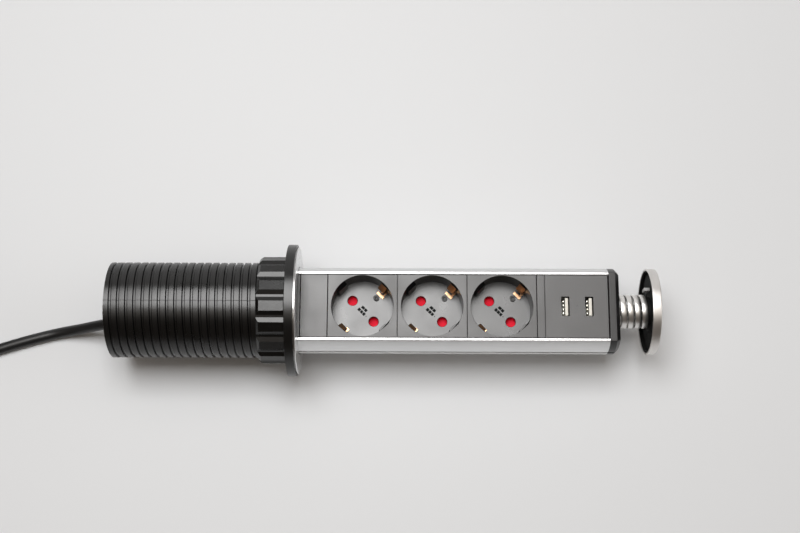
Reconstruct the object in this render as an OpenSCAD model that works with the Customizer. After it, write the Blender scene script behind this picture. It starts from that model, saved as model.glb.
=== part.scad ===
// Pop up desk socket, lying with its sockets up as it would on a bench.
// X runs along the column towards the lid, Z is up out of the sockets.
// The origin is on the axis, in the plane of the flange face that sits on the desk.

/* [Column] */
// Diameter of the round back of the extrusion
column_d = 54; // [53:0.1:56]
// Height of the flat front over the axis
column_front = 16.2; // [15.8:0.1:16.8]
// Wall of the extrusion
column_wall = 1.6; // [1.2:0.1:1.8]
// Length of the extrusion
column_len = 260; // [250:1:275]
// Length of the extrusion over the desk seat when it is pulled up
column_out = 200; // [196:1:206]
// Width of each lip beside the panels
lip_w = 1.4; // [1.2:0.1:2]
// Thickness of each lip
lip_t = 1.5; // [1:0.1:1.8]
// Height of the slot under the lips
slot_h = 1.6; // [1.4:0.1:2]
// Thickness of the rails under the slot
rail_t = 1.5; // [1:0.1:2]
// Width of the guide groove in each side
groove_w = 2.2; // [1.8:0.1:3]
// Depth of the guide groove
groove_depth = 1.8; // [1.2:0.1:2]
// Angle of the guide groove over the level of the axis
groove_angle = 6; // [5:0.5:14]
// Gap between a panel and the extrusion
panel_fit = 0.1; // [0.05:0.05:0.2]
// Gap between a panel's face and the lips
lip_gap = 0.4; // [0.1:0.05:0.5]
// Depth of the panel faces under the lips
face_drop = 0.2; // [0:0.1:0.5]
// Gap between two panels
joint_gap = 0.4; // [0.1:0.05:0.5]

/* [Sleeve and nut] */
// Radial gap between the column and the barrel
slide_gap = 0.4; // [0.3:0.05:0.6]
// Wall of the barrel under the thread
barrel_wall = 1.4; // [1.2:0.1:3]
// Length of the barrel under the flange
barrel_len = 111; // [100:1:112]
// Pitch of the thread
thread_pitch = 5; // [4:0.5:6]
// Depth of the thread
thread_depth = 1.2; // [0.8:0.1:1.4]
// Width of the thread's crest
thread_crest = 3.2; // [1.5:0.1:3.2]
// Diameter of the flange
flange_d = 83; // [80:1:100]
// Thickness of the flange
flange_t = 5.4; // [5:0.1:8]
// Step from the seat face up to the flange's inner face
seat_relief = 0.5; // [0.3:0.1:1]
// Thickness of the metal trim ring
trim_t = 1.3; // [1:0.1:2]
// Width of flange that shows outside the trim ring
trim_inset = 1.7; // [1:0.1:3]
// Length of the brake ring
brake_len = 3.8; // [2:0.1:4]
// Radial thickness of the brake ring
brake_t = 3; // [2:0.1:4]
// Gap between the brake ring and the column
brake_gap = 0.15; // [0.1:0.05:0.3]
// Length of the guide keys in the barrel
key_len = 40; // [20:1:45]
// Width of the guide keys
key_w = 1.4; // [1:0.1:1.5]
// Length of the clamp nut
nut_len = 17; // [12:1:25]
// Wall of the clamp nut over its ribs
nut_wall = 3.4; // [3:0.1:5]
// Number of grip ribs on the clamp nut
nut_ribs = 16; // [12:1:24]
// Depth of the grooves between the ribs
rib_depth = 1.5; // [0.8:0.1:1.8]
// Radial gap between the nut and the barrel
nut_gap = 0.35; // [0.3:0.05:0.6]
// Thickness of the clamp washer
washer_t = 0.8; // [0.6:0.1:2]
// Width of the clamp washer
washer_w = 4.6; // [3:0.1:5]

/* [Sockets] */
// Length of one socket module along the column
module_len = 43.3; // [43:0.1:44.5]
// Diameter of the socket recess
recess_d = 38.6; // [38:0.1:39]
// Depth of the socket recess
recess_depth = 17.5; // [17:0.1:18]
// Wall of the socket cup
cup_wall = 1; // [0.8:0.1:1.2]
// Thickness of the socket base
base_t = 2; // [1.6:0.1:2.4]
// Distance between the two pin holes
pin_pitch = 19; // [18:0.5:19.5]
// Diameter of the pin holes
pin_hole_d = 6.2; // [5.4:0.1:6.6]
// Turn of the pins from the column's length
pin_turn = 135; // [130:1:140]
// Width of the guide lugs
lug_w = 7; // [4:0.5:8]
// Height of the guide lugs over the recess wall
lug_h = 2; // [1:0.1:2.5]
// Width of the earth clip's strip
clip_w = 5; // [4:0.5:6]
// Thickness of the strip
clip_t = 0.8; // [0.6:0.1:1]
// Radius at which the earth clip's knuckle stands
clip_reach = 15.2; // [14.5:0.1:16.5]
// Diameter of the rivet's head
rivet_d = 4; // [3:0.1:4.5]
// Thickness of the shutter
shutter_t = 2; // [1.5:0.1:2.4]
// Width of the shutter's arms
shutter_w = 7.4; // [7:0.1:8]
// Diameter of the pin that the shutter turns on
pivot_d = 4; // [3:0.1:5]
// Height of the contact block
block_h = 13.4; // [12:0.1:14]
// Distance between the two screws of a contact block
block_screws_pitch = 30; // [29:0.5:31]
// Inner diameter of a contact sleeve
contact_d = 4.9; // [4.85:0.05:5.2]
// Wall of a contact sleeve
contact_wall = 0.85; // [0.6:0.05:0.9]
// Thickness of the bus bars
bar_t = 1; // [0.8:0.1:1.2]

/* [Panels and USB] */
// Length of the blank panel
blank_len = 17; // [12:1:18]
// Length of the spacer strip
spacer_len = 5; // [3:0.5:6]
// Length of the USB panel
usb_len = 40; // [40:0.5:44]
// Distance between the two USB ports
usb_pitch = 14.8; // [13:0.1:15]
// Width of a USB slot
usb_slot_w = 5.2; // [5:0.1:5.4]
// Length of a USB slot
usb_slot_l = 12.4; // [12:0.1:12.8]
// Depth of a USB shell
usb_depth = 12.6; // [10:0.1:13]
// Thickness of the USB tongue
tongue_t = 1.9; // [1.6:0.1:2]
// Thickness of the USB board
board_t = 1.6; // [1:0.1:2]

/* [Ends and lid] */
// Thickness of the head cap
head_t = 6.5; // [6:0.1:8]
// Chamfer round the head cap
head_chamfer = 2.4; // [1:0.1:2.6]
// Thickness of the foot cap
foot_t = 5; // [4:0.1:8]
// Length of the spigots of both caps inside the extrusion
spigot_len = 3; // [2:0.1:3.4]
// Length of the spring neck that shows
neck_len = 18.5; // [16:0.5:22]
// Thickness of the lid over its rim
lid_t = 5.6; // [5:0.1:6.5]
// Sheet of the lid cover
lid_sheet = 1; // [0.6:0.1:1.4]
// Thickness of the plate in the lid
insert_t = 2.4; // [1.6:0.1:3]
// Outer diameter of the spring
spring_d = 21.5; // [20:0.1:23]
// Width of the spring strip
strip_w = 3.65; // [3:0.05:3.8]
// Thickness of the spring strip
strip_t = 1.2; // [0.8:0.1:1.4]
// Pitch of the spring
spring_pitch = 4.4; // [4.3:0.05:4.8]
// Depth of the spring's seat in the head cap
seat_depth = 3; // [2:0.1:3.4]
// Diameter of the lid's stem
stem_d = 6; // [5:0.1:7]
// Running gap of round pins in their bores
run_gap = 0.05; // [0.03:0.01:0.08]

/* [Cord] */
// Diameter of the cord
cord_d = 7; // [6:0.1:7.2]
// Radius of the coil's outer loop
coil_r = 54; // [54:1:60]
// Loops in the coil's lower layer; the upper one has half a loop less
coil_loops = 3; // [2:1:3]
// Step from loop to loop and from layer to layer
coil_step = 8.4; // [8.3:0.1:8.6]
// Diameter of the plug
plug_d = 38; // [37:0.5:38]
// Length of the plug without its pins
plug_len = 42; // [38:1:50]
// Diameter of the plug's pins
plug_pin_d = 4.8; // [4:0.1:4.8]
// Length of the plug's pins
plug_pin_len = 19; // [17:1:19]

/* [Hidden] */
$fn = 96;
eps = 0.01;

// Column section, in Y and Z
column_r = column_d / 2;
inner_r = column_r - column_wall;
front_half = sqrt(pow(column_r, 2) - pow(column_front, 2));
panel_half = front_half - lip_w;
slot_top = column_front - lip_t;
slot_bottom = slot_top - slot_h;
rail_bottom = slot_bottom - rail_t;
cup_r = recess_d / 2 + cup_wall;
throat_half = cup_r + 2 * panel_fit;
slot_half = throat_half + 0.95;
face_z = column_front - face_drop;
backing_t = 1.6;
groove_sides = [groove_angle, 180 - groove_angle];
port_angles = [-30, 210];
port_r = column_r - groove_depth - backing_t - 2.3;
port_wall_r = 2.6;
port_hole_r = 1.5;

// Places along the column
foot_x = column_out - column_len;
usb_x = column_out - usb_len;
spacer_x = usb_x - spacer_len;
first_socket_x = spacer_x - 3 * module_len;
blank_x = first_socket_x - blank_len;
head_x = column_out + head_t;
lid_x = head_x + neck_len;
lid_top = lid_x + lid_t;
insert_top = lid_top - lid_sheet;
insert_x = insert_top - insert_t;
function socket_x(i) = first_socket_x + (i + 0.5) * module_len;

// Sleeve and nut
bore_r = column_r + slide_gap;
root_r = bore_r + barrel_wall;
barrel_r = root_r + thread_depth;
flange_r = flange_d / 2;
washer_in = barrel_r + nut_gap;
washer_out = washer_in + washer_w;
seat_in = washer_out + 1;
thread_from = 2.3;
thread_n = floor((barrel_len - thread_from) / thread_pitch);
crest_w = min(thread_crest, thread_pitch - 1.5);
thread_foot = crest_w + 0.9;
brake_r = column_r + brake_gap + brake_t;
trim_r = flange_r - trim_inset;
trim_skirt_r = trim_r - 2;
trim_skirt_t = 1;
trim_skirt_len = 1.5;
trim_fit = 0.1;
nut_in = barrel_r + nut_gap;
nut_out = nut_in + nut_wall;
washer_x = seat_relief - 0.2 - washer_t;
nut_x = washer_x - 0.1 - nut_len;
key_x = -10 - key_len;
key_tip = column_r - groove_depth + 0.5;

// Socket levels
recess_r = recess_d / 2;
base_z = face_z - recess_depth;
base_under = base_z - base_t;
clip_under = base_under - clip_t;
rivet_head = 0.7;
rivet_shank_r = 1;
rivet_at = 11.8;
shutter_top = clip_under - 0.9;
shutter_under = shutter_top - shutter_t;
block_top = shutter_under - 0.4;
block_under = block_top - block_h;
block_half_x = block_screws_pitch / 2 + 3;
block_half_y = 12.5;
pin_at = pin_pitch / 2;
earth_turn = pin_turn - 90;
pin_dx = pin_at * cos(pin_turn);
pin_dy = pin_at * sin(pin_turn);
contact_out = contact_d / 2 + contact_wall;
contact_fit = 0.2;
bar_w = 2 * contact_out;
bar_x = blank_x + 8;
earth_bar_w = 3;
screw_r = 1.25;
screw_fit = 0.05;
screw_head_r = 2.3;
screw_head_h = 1.4;

// USB
shell_wall = 0.3;
shell_gap = 0.05;
shell_w = usb_slot_w + 2 * shell_wall;
shell_l = usb_slot_l + 2 * shell_wall;
shell_under = slot_bottom - usb_depth;
board_x = usb_x + 4;
board_half = 15;
usb_mid = usb_x + usb_len / 2;
board_end = usb_mid + usb_pitch / 2 + shell_w / 2;
usb_ports = [usb_mid - usb_pitch / 2, usb_mid + usb_pitch / 2];

// Caps and lid
spigot_r = column_r - groove_depth - backing_t - 2 * panel_fit;
cap_screw_r = 1.4;
cap_head_r = 2.6;
cap_screw_len = 12;
stem_r = stem_d / 2;
guide_x = column_out - spigot_len;
spring_r = spring_d / 2;
spring_in = spring_r - strip_t;
seat_x = head_x - seat_depth;
boss_r = spring_in - 0.35;
boss_x = insert_x - 3.2;
clip_gap = 0.1;
clip_neck_r = stem_r - 0.9;
ring_t = 0.8;
stem_end = guide_x - ring_t - 2 * clip_gap - 1.4;
stud_r = 1.5;
stud_len = 4;

// Cord boot, below the axis so that the cord leaves low
boot_y = -3;
boot_z = -14;
boot_hole_r = 4.15;
boot_len = 17;
boot_x = foot_x - foot_t - boot_len;

// Cord route on the floor, which the flange's rim touches
floor_z = -flange_r;
lie_z = floor_z + cord_d / 2;
coil_x = -258;
coil_front = -36;
coil_y = coil_front + coil_r;
end_gap = 0.05;
lead_points = [
    [boot_x, boot_y, boot_z], [boot_x - 10, boot_y, boot_z], [-112, -4.4, -18.5],
    [-124, -5.4, -23.5], [-140, -6.6, -32.5], [-154, -8.2, -37.4], [-168, -11.5, lie_z],
    [-182, -15.5, lie_z], [-197, -20.3, lie_z], [-214, -26, lie_z], [-228, coil_front + 5.2, lie_z],
    [-240, coil_front + 1.9, lie_z], [coil_x + 8, coil_front + 0.2, lie_z],
    [coil_x + end_gap, coil_front, lie_z]
];

// Helpers: an outline in Y and Z drawn along X, and an outline in radius and X turned round X
module along_x(x, len) translate([x, 0, 0]) rotate([90, 0, 90]) linear_extrude(len) children();
module turned(x = 0) translate([x, 0, 0]) rotate([0, 90, 0]) rotate_extrude() children();
module rod_x(x, len, r) translate([x, 0, 0]) rotate([0, 90, 0]) cylinder(h = len, r = r);
module post(p, from, to, r) translate([p[0], p[1], from]) cylinder(h = to - from, r = r);
module block(from, to) translate(from) cube(to - from);

// A smooth line through hand-chosen points, with a few steps between two of them
function bend(a, b, c, d, t) = 0.5 * (2 * b + (c - a) * t + (2 * a - 5 * b + 4 * c - d) * t * t
    + (3 * b - a - 3 * c + d) * t * t * t);
function smooth_line(p, steps) = let (n = len(p) - 1) concat(
    [for (i = [0:n - 1], k = [0:steps - 1])
        bend(p[max(i - 1, 0)], p[i], p[i + 1], p[min(i + 2, n)], k / steps)], [p[n]]);

function unit(v) = v / norm(v);
function heading(p, i) = let (n = len(p) - 1)
    i == 0 ? unit(p[1] - p[0]) : i == n ? unit(p[n] - p[n - 1]) : unit(p[i + 1] - p[i - 1]);

// One tube along a line of points; a section point is [sideways, up]
module sweep(line, section) {
    n = len(line);
    m = len(section);
    points = [for (i = [0:n - 1])
        let (t = heading(line, i), s = unit(cross(t, [0, 0, 1])), u = cross(s, t))
            each [for (q = section) line[i] + q[0] * s + q[1] * u]];
    walls = [for (i = [0:n - 2], j = [0:m - 1]) let (a = i * m + j, b = i * m + (j + 1) % m)
        each [[a, b, b + m], [a, b + m, a + m]]];
    caps = [for (j = [1:m - 2]) each [[0, j + 1, j], [(n - 1) * m, (n - 1) * m + j, (n - 1) * m + j + 1]]];
    polyhedron(points, concat(walls, caps));
}
function ring_of(r, sides) = [for (j = [0:sides - 1]) let (a = 360 * (j + 0.5) / sides) r * [cos(a), sin(a)]];

// Sleeve: barrel, thread drawn at its pitch, flange, seat, brake pocket and guide keys
module sleeve() color("#26262a") {
    crests = [for (k = [0:thread_n - 1]) let (x = -barrel_len + thread_from + k * thread_pitch) each [
        [root_r, x - thread_foot / 2], [barrel_r, x - crest_w / 2],
        [barrel_r, x + crest_w / 2], [root_r, x + thread_foot / 2]]];
    difference() {
        turned() polygon(concat(
            [[bore_r, -barrel_len], [root_r, -barrel_len]], crests,
            [[root_r, seat_relief], [seat_in, seat_relief], [seat_in, 0], [flange_r - 0.5, 0],
            [flange_r, 0.5], [flange_r, flange_t - 0.5], [flange_r - 0.5, flange_t], [brake_r, flange_t],
            [brake_r, flange_t - brake_len], [bore_r, flange_t - brake_len]]));
        turned(flange_t - trim_skirt_len - trim_fit) translate([trim_skirt_r - trim_skirt_t - trim_fit, 0])
            square([trim_skirt_t + 2 * trim_fit, trim_skirt_len + 1]);
    }
    along_x(key_x, key_len) for (a = groove_sides) rotate(a)
        translate([key_tip, -key_w / 2]) square([bore_r + barrel_wall / 2 - key_tip, key_w]);
}

// Trim ring with the skirt that centres it in the flange, its rim a little clear of the flange
trim_step = 1;
trim_lift = 0.45;
module trim_ring() color("#c9ccd0") turned(flange_t) polygon([
    [bore_r + 0.2, 0], [trim_skirt_r - trim_skirt_t, 0], [trim_skirt_r - trim_skirt_t, -trim_skirt_len],
    [trim_skirt_r, -trim_skirt_len], [trim_skirt_r, 0], [trim_r - trim_step, 0],
    [trim_r - trim_step, trim_lift], [trim_r, trim_lift], [trim_r, trim_t - 0.4],
    [trim_r - 0.4, trim_t], [bore_r + 0.5, trim_t], [bore_r + 0.2, trim_t - 0.3]]);

// Felt ring that holds the column by friction
module brake_ring() color("#1d1d1f") turned(flange_t - brake_len)
    translate([column_r + brake_gap, 0]) square([brake_t - trim_fit, brake_len - trim_fit]);

module clamp_washer() color("#2f2f33") turned(washer_x)
    translate([washer_in, 0]) square([washer_out - washer_in, washer_t]);

// Ring nut with its grip ribs
module clamp_nut() color("#222226") intersection() {
    along_x(nut_x, nut_len) difference() {
        circle(nut_out);
        circle(nut_in);
        for (k = [0:nut_ribs - 1]) rotate(k * 360 / nut_ribs + nut_phase) grip_groove();
    }
    turned(nut_x) polygon([[0, 0], [nut_out - 1.6, 0], [nut_out - 0.4, 1.6],
        [nut_out, nut_len], [0, nut_len]]);
}
nut_phase = 85.25;
module grip_groove() {
    quarter = PI * nut_out / nut_ribs / 2;
    narrow = quarter * 0.25;
    wide = narrow + quarter * 0.95 * (rib_depth + 1) / rib_depth;
    polygon([[nut_out - rib_depth, -narrow], [nut_out - rib_depth, narrow],
        [nut_out + 1, wide], [nut_out + 1, -wide]]);
}

// Outline of the column with its flat front, and the same with the guide grooves
module column_outline(r) intersection() {
    circle(r);
    translate([-r, -r]) square([2 * r, r + column_front]);
}
module side_grooves() for (a = groove_sides) rotate(a)
    translate([column_r - groove_depth, -groove_w / 2]) square([groove_depth + 1, groove_w]);
module keyed_outline(r) difference() {
    column_outline(r);
    side_grooves();
}
module at_ports() for (a = port_angles) rotate(a) translate([port_r, 0]) children();

// Extrusion: lips, panel slots, rails, groove backings and screw ports
module column_profile() color("#d3d6da") along_x(foot_x, column_len) difference() {
    union() {
        difference() {
            column_outline(column_r);
            intersection() {
                circle(inner_r);
                translate([-inner_r, -inner_r]) square([2 * inner_r, inner_r + rail_bottom]);
            }
        }
        for (a = groove_sides) rotate(a) translate([column_r - groove_depth - backing_t, -groove_w / 2 - 1.5])
            square([groove_depth + backing_t - 0.6, groove_w + 3]);
        at_ports() circle(port_wall_r);
        at_ports() translate([0, -1.2]) square([inner_r + column_wall / 2 - port_r, 2.4]);
    }
    side_grooves();
    at_ports() circle(port_hole_r);
    translate([-panel_half, slot_bottom]) square([2 * panel_half, column_r]);
    translate([-slot_half, slot_bottom]) square([2 * slot_half, slot_h]);
    translate([-throat_half, rail_bottom - 1]) square([2 * throat_half, rail_t + 2]);
}

// Front panel between the lips, with its edges in the slots
module panel(x, len) along_x(x + joint_gap / 2, len - joint_gap) {
    translate([-slot_half + panel_fit, slot_bottom])
        square([2 * (slot_half - panel_fit), slot_h - panel_fit]);
    translate([-panel_half + lip_gap, slot_bottom])
        square([2 * (panel_half - lip_gap), face_z - slot_bottom]);
}
module lower_panel() color("#4c4d50") panel(foot_x + spigot_len, blank_x - foot_x - spigot_len);
module blank_panel() color("#57585b") panel(blank_x, blank_len);
module spacer_strip() color("#57585b") panel(spacer_x, spacer_len);

// Places in one socket, seen from its centre
module at_pins(i) for (s = [1, -1]) translate([socket_x(i) + s * pin_dx, s * pin_dy, 0]) children();
module at_clips(i) for (s = [0, 180]) translate([socket_x(i), 0, 0]) rotate(earth_turn + s) children();
module at_block_screws(i) for (s = [1, -1])
    translate([socket_x(i) + s * block_screws_pitch / 2, 0, 0]) children();
module at_rivet(i) translate([socket_x(i), 0, 0]) rotate(earth_turn) translate([rivet_at, 0, 0]) children();

// Socket: panel, cup, pin holes, slots for the earth clip and guide lugs that end below the face
lug_drop = 1.5;
module socket_body(i) color("#55565a") difference() {
    union() {
        difference() {
            union() {
                panel(socket_x(i) - module_len / 2, module_len);
                post([socket_x(i), 0], base_under, slot_bottom + eps, cup_r);
            }
            post([socket_x(i), 0], base_z, face_z + 1, recess_r);
        }
        for (s = [0, 180]) translate([socket_x(i), 0, 0]) rotate(pin_turn + s)
            block([recess_r - lug_h, -lug_w / 2, base_z - eps],
                [recess_r + cup_wall / 2, lug_w / 2, face_z - lug_drop]);
    }
    at_pins(i) post([0, 0], base_under - 1, base_z + 1, pin_hole_d / 2);
    at_clips(i) block([recess_r - 0.4, -clip_w / 2 - 0.3, base_under - 1],
        [cup_r + 1, clip_w / 2 + 0.3, clip_end + 0.5]);
    at_rivet(i) post([0, 0], base_under - 1, base_z + 1, rivet_shank_r + run_gap);
    at_block_screws(i) post([0, 0], base_under - 1, base_z - 0.8, screw_r + screw_fit);
}
module socket_body_1() socket_body(0);
module socket_body_2() socket_body(1);
module socket_body_3() socket_body(2);

// Earth clip: one strip under the base with a knuckle at both ends
clip_out = recess_r + cup_wall - 0.3;
knuckle_z = base_z + recess_depth / 2;
clip_end = knuckle_z + 4.8;
clip_start = knuckle_z - 4.4;
clip_slant = clip_t * 1.4;
module earth_clip(i) color("#b0683a") difference() {
    at_clips(i) rotate([90, 0, 0]) linear_extrude(clip_w, center = true) polygon([
        [-eps, clip_under], [clip_out, clip_under], [clip_out, clip_start],
        [clip_reach + clip_slant, knuckle_z], [clip_out, clip_end - 0.6], [clip_out - 0.6, clip_end],
        [clip_reach, knuckle_z], [clip_out - clip_t, clip_start - 0.3], [clip_out - clip_t, base_under],
        [-eps, base_under]]);
    at_rivet(i) post([0, 0], clip_under - 1, base_under + 1, rivet_shank_r + run_gap);
}
module earth_clip_1() earth_clip(0);
module earth_clip_2() earth_clip(1);
module earth_clip_3() earth_clip(2);

module earth_rivets() color("#8d9094") for (i = [0:2]) at_rivet(i) {
    post([0, 0], base_z, base_z + rivet_head, rivet_d / 2);
    post([0, 0], clip_under - 0.6, base_z + eps, rivet_shank_r);
    post([0, 0], clip_under - 0.6, clip_under, rivet_d / 2 - 0.3);
}

// Shutter: a hub with an arm under each pin hole
module shutter(i) color("#b5382e") translate([socket_x(i), 0, shutter_under]) rotate(pin_turn)
    linear_extrude(shutter_t) difference() {
        union() {
            circle(pivot_d / 2 + 2.2);
            square([2 * pin_at + shutter_w, shutter_w], center = true);
        }
        circle(pivot_d / 2 + run_gap);
    }
module shutter_1() shutter(0);
module shutter_2() shutter(1);
module shutter_3() shutter(2);

// Contact block: pockets for the contact sleeves, channels for the bars, pivot pin and pillars
module contact_block(i) color("#3a3b3e") difference() {
    union() {
        block([socket_x(i) - block_half_x, -block_half_y, block_under],
            [socket_x(i) + block_half_x, block_half_y, block_top]);
        post([socket_x(i), 0], block_top - eps, shutter_top + 0.3, pivot_d / 2);
        at_block_screws(i) post([0, 0], block_top - eps, base_under, 2.6);
    }
    at_pins(i) post([0, 0], block_under + bar_t, block_top + 1, contact_out + contact_fit);
    for (s = [1, -1])
        translate([socket_x(i) - block_half_x - 1, s * pin_dy - bar_w / 2 - contact_fit, block_under - 1])
            cube([2 * block_half_x + 2, bar_w + 2 * contact_fit, bar_t + 1]);
    at_block_screws(i) post([0, 0], block_under - 1, base_under + 1, screw_r + screw_fit);
}
module contact_block_1() contact_block(0);
module contact_block_2() contact_block(1);
module contact_block_3() contact_block(2);

module block_screws() color("#a9acb0") for (i = [0:2]) at_block_screws(i) {
    post([0, 0], block_under, base_z - 0.9, screw_r);
    post([0, 0], block_under - screw_head_h, block_under, screw_head_r);
}

// Bus bar with one contact sleeve for each socket, on one side of the axis
module bus_bar(s) color("#c08a4a") difference() {
    union() {
        block([bar_x, s * pin_dy - bar_w / 2, block_under],
            [socket_x(2) + s * pin_dx + contact_out, s * pin_dy + bar_w / 2, block_under + bar_t]);
        for (i = [0:2])
            post([socket_x(i) + s * pin_dx, s * pin_dy], block_under, block_top - 1, contact_out);
    }
    for (i = [0:2])
        post([socket_x(i) + s * pin_dx, s * pin_dy], block_under + bar_t, block_top, contact_d / 2);
}
module live_bar() bus_bar(1);
module neutral_bar() bus_bar(-1);

// Earth bar under the clips, beside the contact blocks
earth_bar_y = block_half_y + 0.9;
module earth_bar() color("#c08a4a") block([bar_x, earth_bar_y, clip_under - clip_t],
    [socket_x(2) + earth_bar_y, earth_bar_y + earth_bar_w, clip_under]);

// Cores from the cord to the bars
core_r = 1.2;
core_x = foot_x + spigot_len + 3;
module core(from, to) sweep(smooth_line([[core_x, from[0], from[1]], [core_x + 8, from[0], from[1]],
    [(core_x + bar_x) / 2, (from[0] + to[0]) / 2, (from[1] + to[1]) / 2],
    [bar_x - 8, to[0], to[1]], [bar_x, to[0], to[1]]], 3), ring_of(core_r, 8));
module live_wire() color("#6b4a32") core([boot_y, boot_z + 1.7], [pin_dy, block_under + bar_t / 2]);
module neutral_wire() color("#3f6ea8") core([boot_y - 1.5, boot_z - 1], [-pin_dy, block_under + bar_t / 2]);
module earth_wire() color("#7f9a3a") core([boot_y + 1.5, boot_z - 1],
    [earth_bar_y + earth_bar_w / 2, clip_under - clip_t / 2]);

// USB panel with its two slots, the dimple between them and the board's posts
module at_usb_ports() for (x = usb_ports) translate([x, 0, 0]) children();
module at_board_posts() for (x = [board_x + 3, board_end - 3], y = [-12, 12]) translate([x, y, 0]) children();
module usb_panel() color("#57585b") difference() {
    union() {
        panel(usb_x, usb_len);
        at_board_posts() post([0, 0], shell_under, slot_bottom + eps, 2);
    }
    at_usb_ports() block([-usb_slot_w / 2, -usb_slot_l / 2, slot_bottom - 1],
        [usb_slot_w / 2, usb_slot_l / 2, face_z + 1]);
    post([usb_mid, 0], face_z - 0.4, face_z + 1, 0.6);
}
module usb_shells() color("#b9bcc0") at_usb_ports() difference() {
    block([-shell_w / 2, -shell_l / 2, shell_under], [shell_w / 2, shell_l / 2, slot_bottom - shell_gap]);
    block([-usb_slot_w / 2, -usb_slot_l / 2, shell_under + shell_wall],
        [usb_slot_w / 2, usb_slot_l / 2, slot_bottom + 1]);
}
module usb_tongues() color("#ece7da") at_usb_ports()
    block([0, -usb_slot_l / 2 + 0.65, shell_under + shell_wall],
        [tongue_t, usb_slot_l / 2 - 0.65, face_z - 1.4]);
module usb_board() color("#2e5a3c")
    block([board_x, -board_half, shell_under - board_t], [board_end, board_half, shell_under]);

// Mains supply under the board: transformer, capacitor and choke
module usb_converter() color("#d8c24a") {
    block([board_x + 2, -10, shell_under - board_t - 13], [board_x + 15, 8, shell_under - board_t]);
    post([board_x + 21, -5], shell_under - board_t - 12, shell_under - board_t, 4.5);
    post([board_x + 21, 6], shell_under - board_t - 8, shell_under - board_t, 3.5);
}

// Head cap: chamfered top, spring seat, stem guide and two countersunk screws
module spigot(x) along_x(x, spigot_len) difference() {
    intersection() {
        circle(spigot_r);
        translate([-spigot_r, -spigot_r]) square([2 * spigot_r, spigot_r + rail_bottom - 2 * panel_fit]);
    }
    at_ports() circle(port_wall_r + panel_fit);
    at_ports() translate([0, -1.2 - panel_fit]) square([inner_r, 2.4 + 2 * panel_fit]);
}
module rod_at_ports(x, len, r) at_ports_3d() rod_x(x, len, r);
module at_ports_3d() for (a = port_angles) translate([0, port_r * cos(a), port_r * sin(a)]) children();
module head_cap() color("#222226") difference() {
    union() {
        difference() {
            intersection() {
                along_x(column_out, head_t) keyed_outline(column_r);
                turned(column_out) polygon([[0, 0], [column_r + 1, 0],
                    [column_r + 1, head_t - head_chamfer - 1],
                    [column_r - head_chamfer, head_t], [0, head_t]]);
            }
            translate([head_x - head_chamfer, 0, column_front]) rotate([0, 45, 0])
                block([0, -column_r, 0], [4 * head_chamfer, column_r, 4 * head_chamfer]);
        }
        spigot(guide_x);
    }
    rod_x(seat_x, seat_depth + 1, spring_r + 0.45);
    rod_x(guide_x - 1, seat_x - guide_x + 2, stem_r + run_gap);
    rod_at_ports(column_out - 1, head_t + 2, cap_screw_r + screw_fit);
    at_ports_3d() cap_screw_head(head_x, 1, screw_fit);
}
module cap_screw_head(x, s, gap) translate([x, 0, 0]) rotate([0, s * 90, 0]) translate([0, 0, -1.8])
    cylinder(h = 1.8 + gap, r1 = cap_screw_r + gap, r2 = cap_head_r + gap);
module cap_screw(x, s) {
    cap_screw_head(x, s, 0);
    rod_x(s > 0 ? x - cap_screw_len : x + 1, cap_screw_len - 1, cap_screw_r);
}
module head_cap_screws() color("#a9acb0") at_ports_3d() cap_screw(head_x, 1);

// Foot cap with the boot's hole
module foot_cap() color("#2a2a2e") difference() {
    union() {
        along_x(foot_x - foot_t, foot_t) keyed_outline(column_r - 2 * panel_fit);
        spigot(foot_x);
    }
    translate([0, boot_y, boot_z]) rod_x(foot_x - foot_t - 1, foot_t + spigot_len + 2, boot_hole_r);
    rod_at_ports(foot_x - foot_t - 1, foot_t + 2, cap_screw_r + screw_fit);
    at_ports_3d() cap_screw_head(foot_x - foot_t, -1, screw_fit);
}
module foot_cap_screws() color("#a9acb0") at_ports_3d() cap_screw(foot_x - foot_t, -1);

// Boot: collar inside the cap, neck in its hole and the tapered tail that the cord leaves
module cable_boot() color("#1f1f22") translate([0, boot_y, boot_z]) turned(boot_x) polygon([
    [0, 0], [cord_d / 2 + 0.8, 0], [cord_d / 2 + 2.6, boot_len], [boot_hole_r - run_gap, boot_len],
    [boot_hole_r - run_gap, boot_len + foot_t + spigot_len], [6.2, boot_len + foot_t + spigot_len],
    [6.2, boot_len + foot_t + spigot_len + 3], [0, boot_len + foot_t + spigot_len + 3]]);

// Lid: cover, plate with the spring's spigot, stem, clip and catch
module lid_cover() color("#c4c7cb") turned(lid_x) polygon([
    [column_r - lid_sheet, 0], [column_r - 0.2, 0], [column_r, 0.3], [column_r, lid_t - 0.9],
    [column_r - 0.3, lid_t - 0.3], [column_r - 0.9, lid_t], [0, lid_t], [0, lid_t - lid_sheet],
    [column_r - lid_sheet, lid_t - lid_sheet]]);
insert_r = column_r - lid_sheet - panel_fit;
insert_wall = 0.8;
insert_step = 0.4;
module lid_insert() color("#1d1d20") difference() {
    union() {
        difference() {
            rod_x(lid_x + insert_step, insert_top - lid_x - insert_step, insert_r);
            rod_x(lid_x, insert_x - lid_x, insert_r - insert_wall);
        }
        rod_x(boss_x, insert_x - boss_x + eps, boss_r);
    }
    rod_x(boss_x - 1, stud_len + 1 + panel_fit, stud_r + run_gap);
}
module lid_stem() color("#9fa3a8") difference() {
    union() {
        rod_x(stem_end, boss_x - stem_end, stem_r);
        rod_x(boss_x - eps, stud_len, stud_r);
    }
    turned(guide_x - ring_t - 2 * clip_gap) translate([clip_neck_r, 0])
        square([stem_r, ring_t + 2 * clip_gap]);
}
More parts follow.
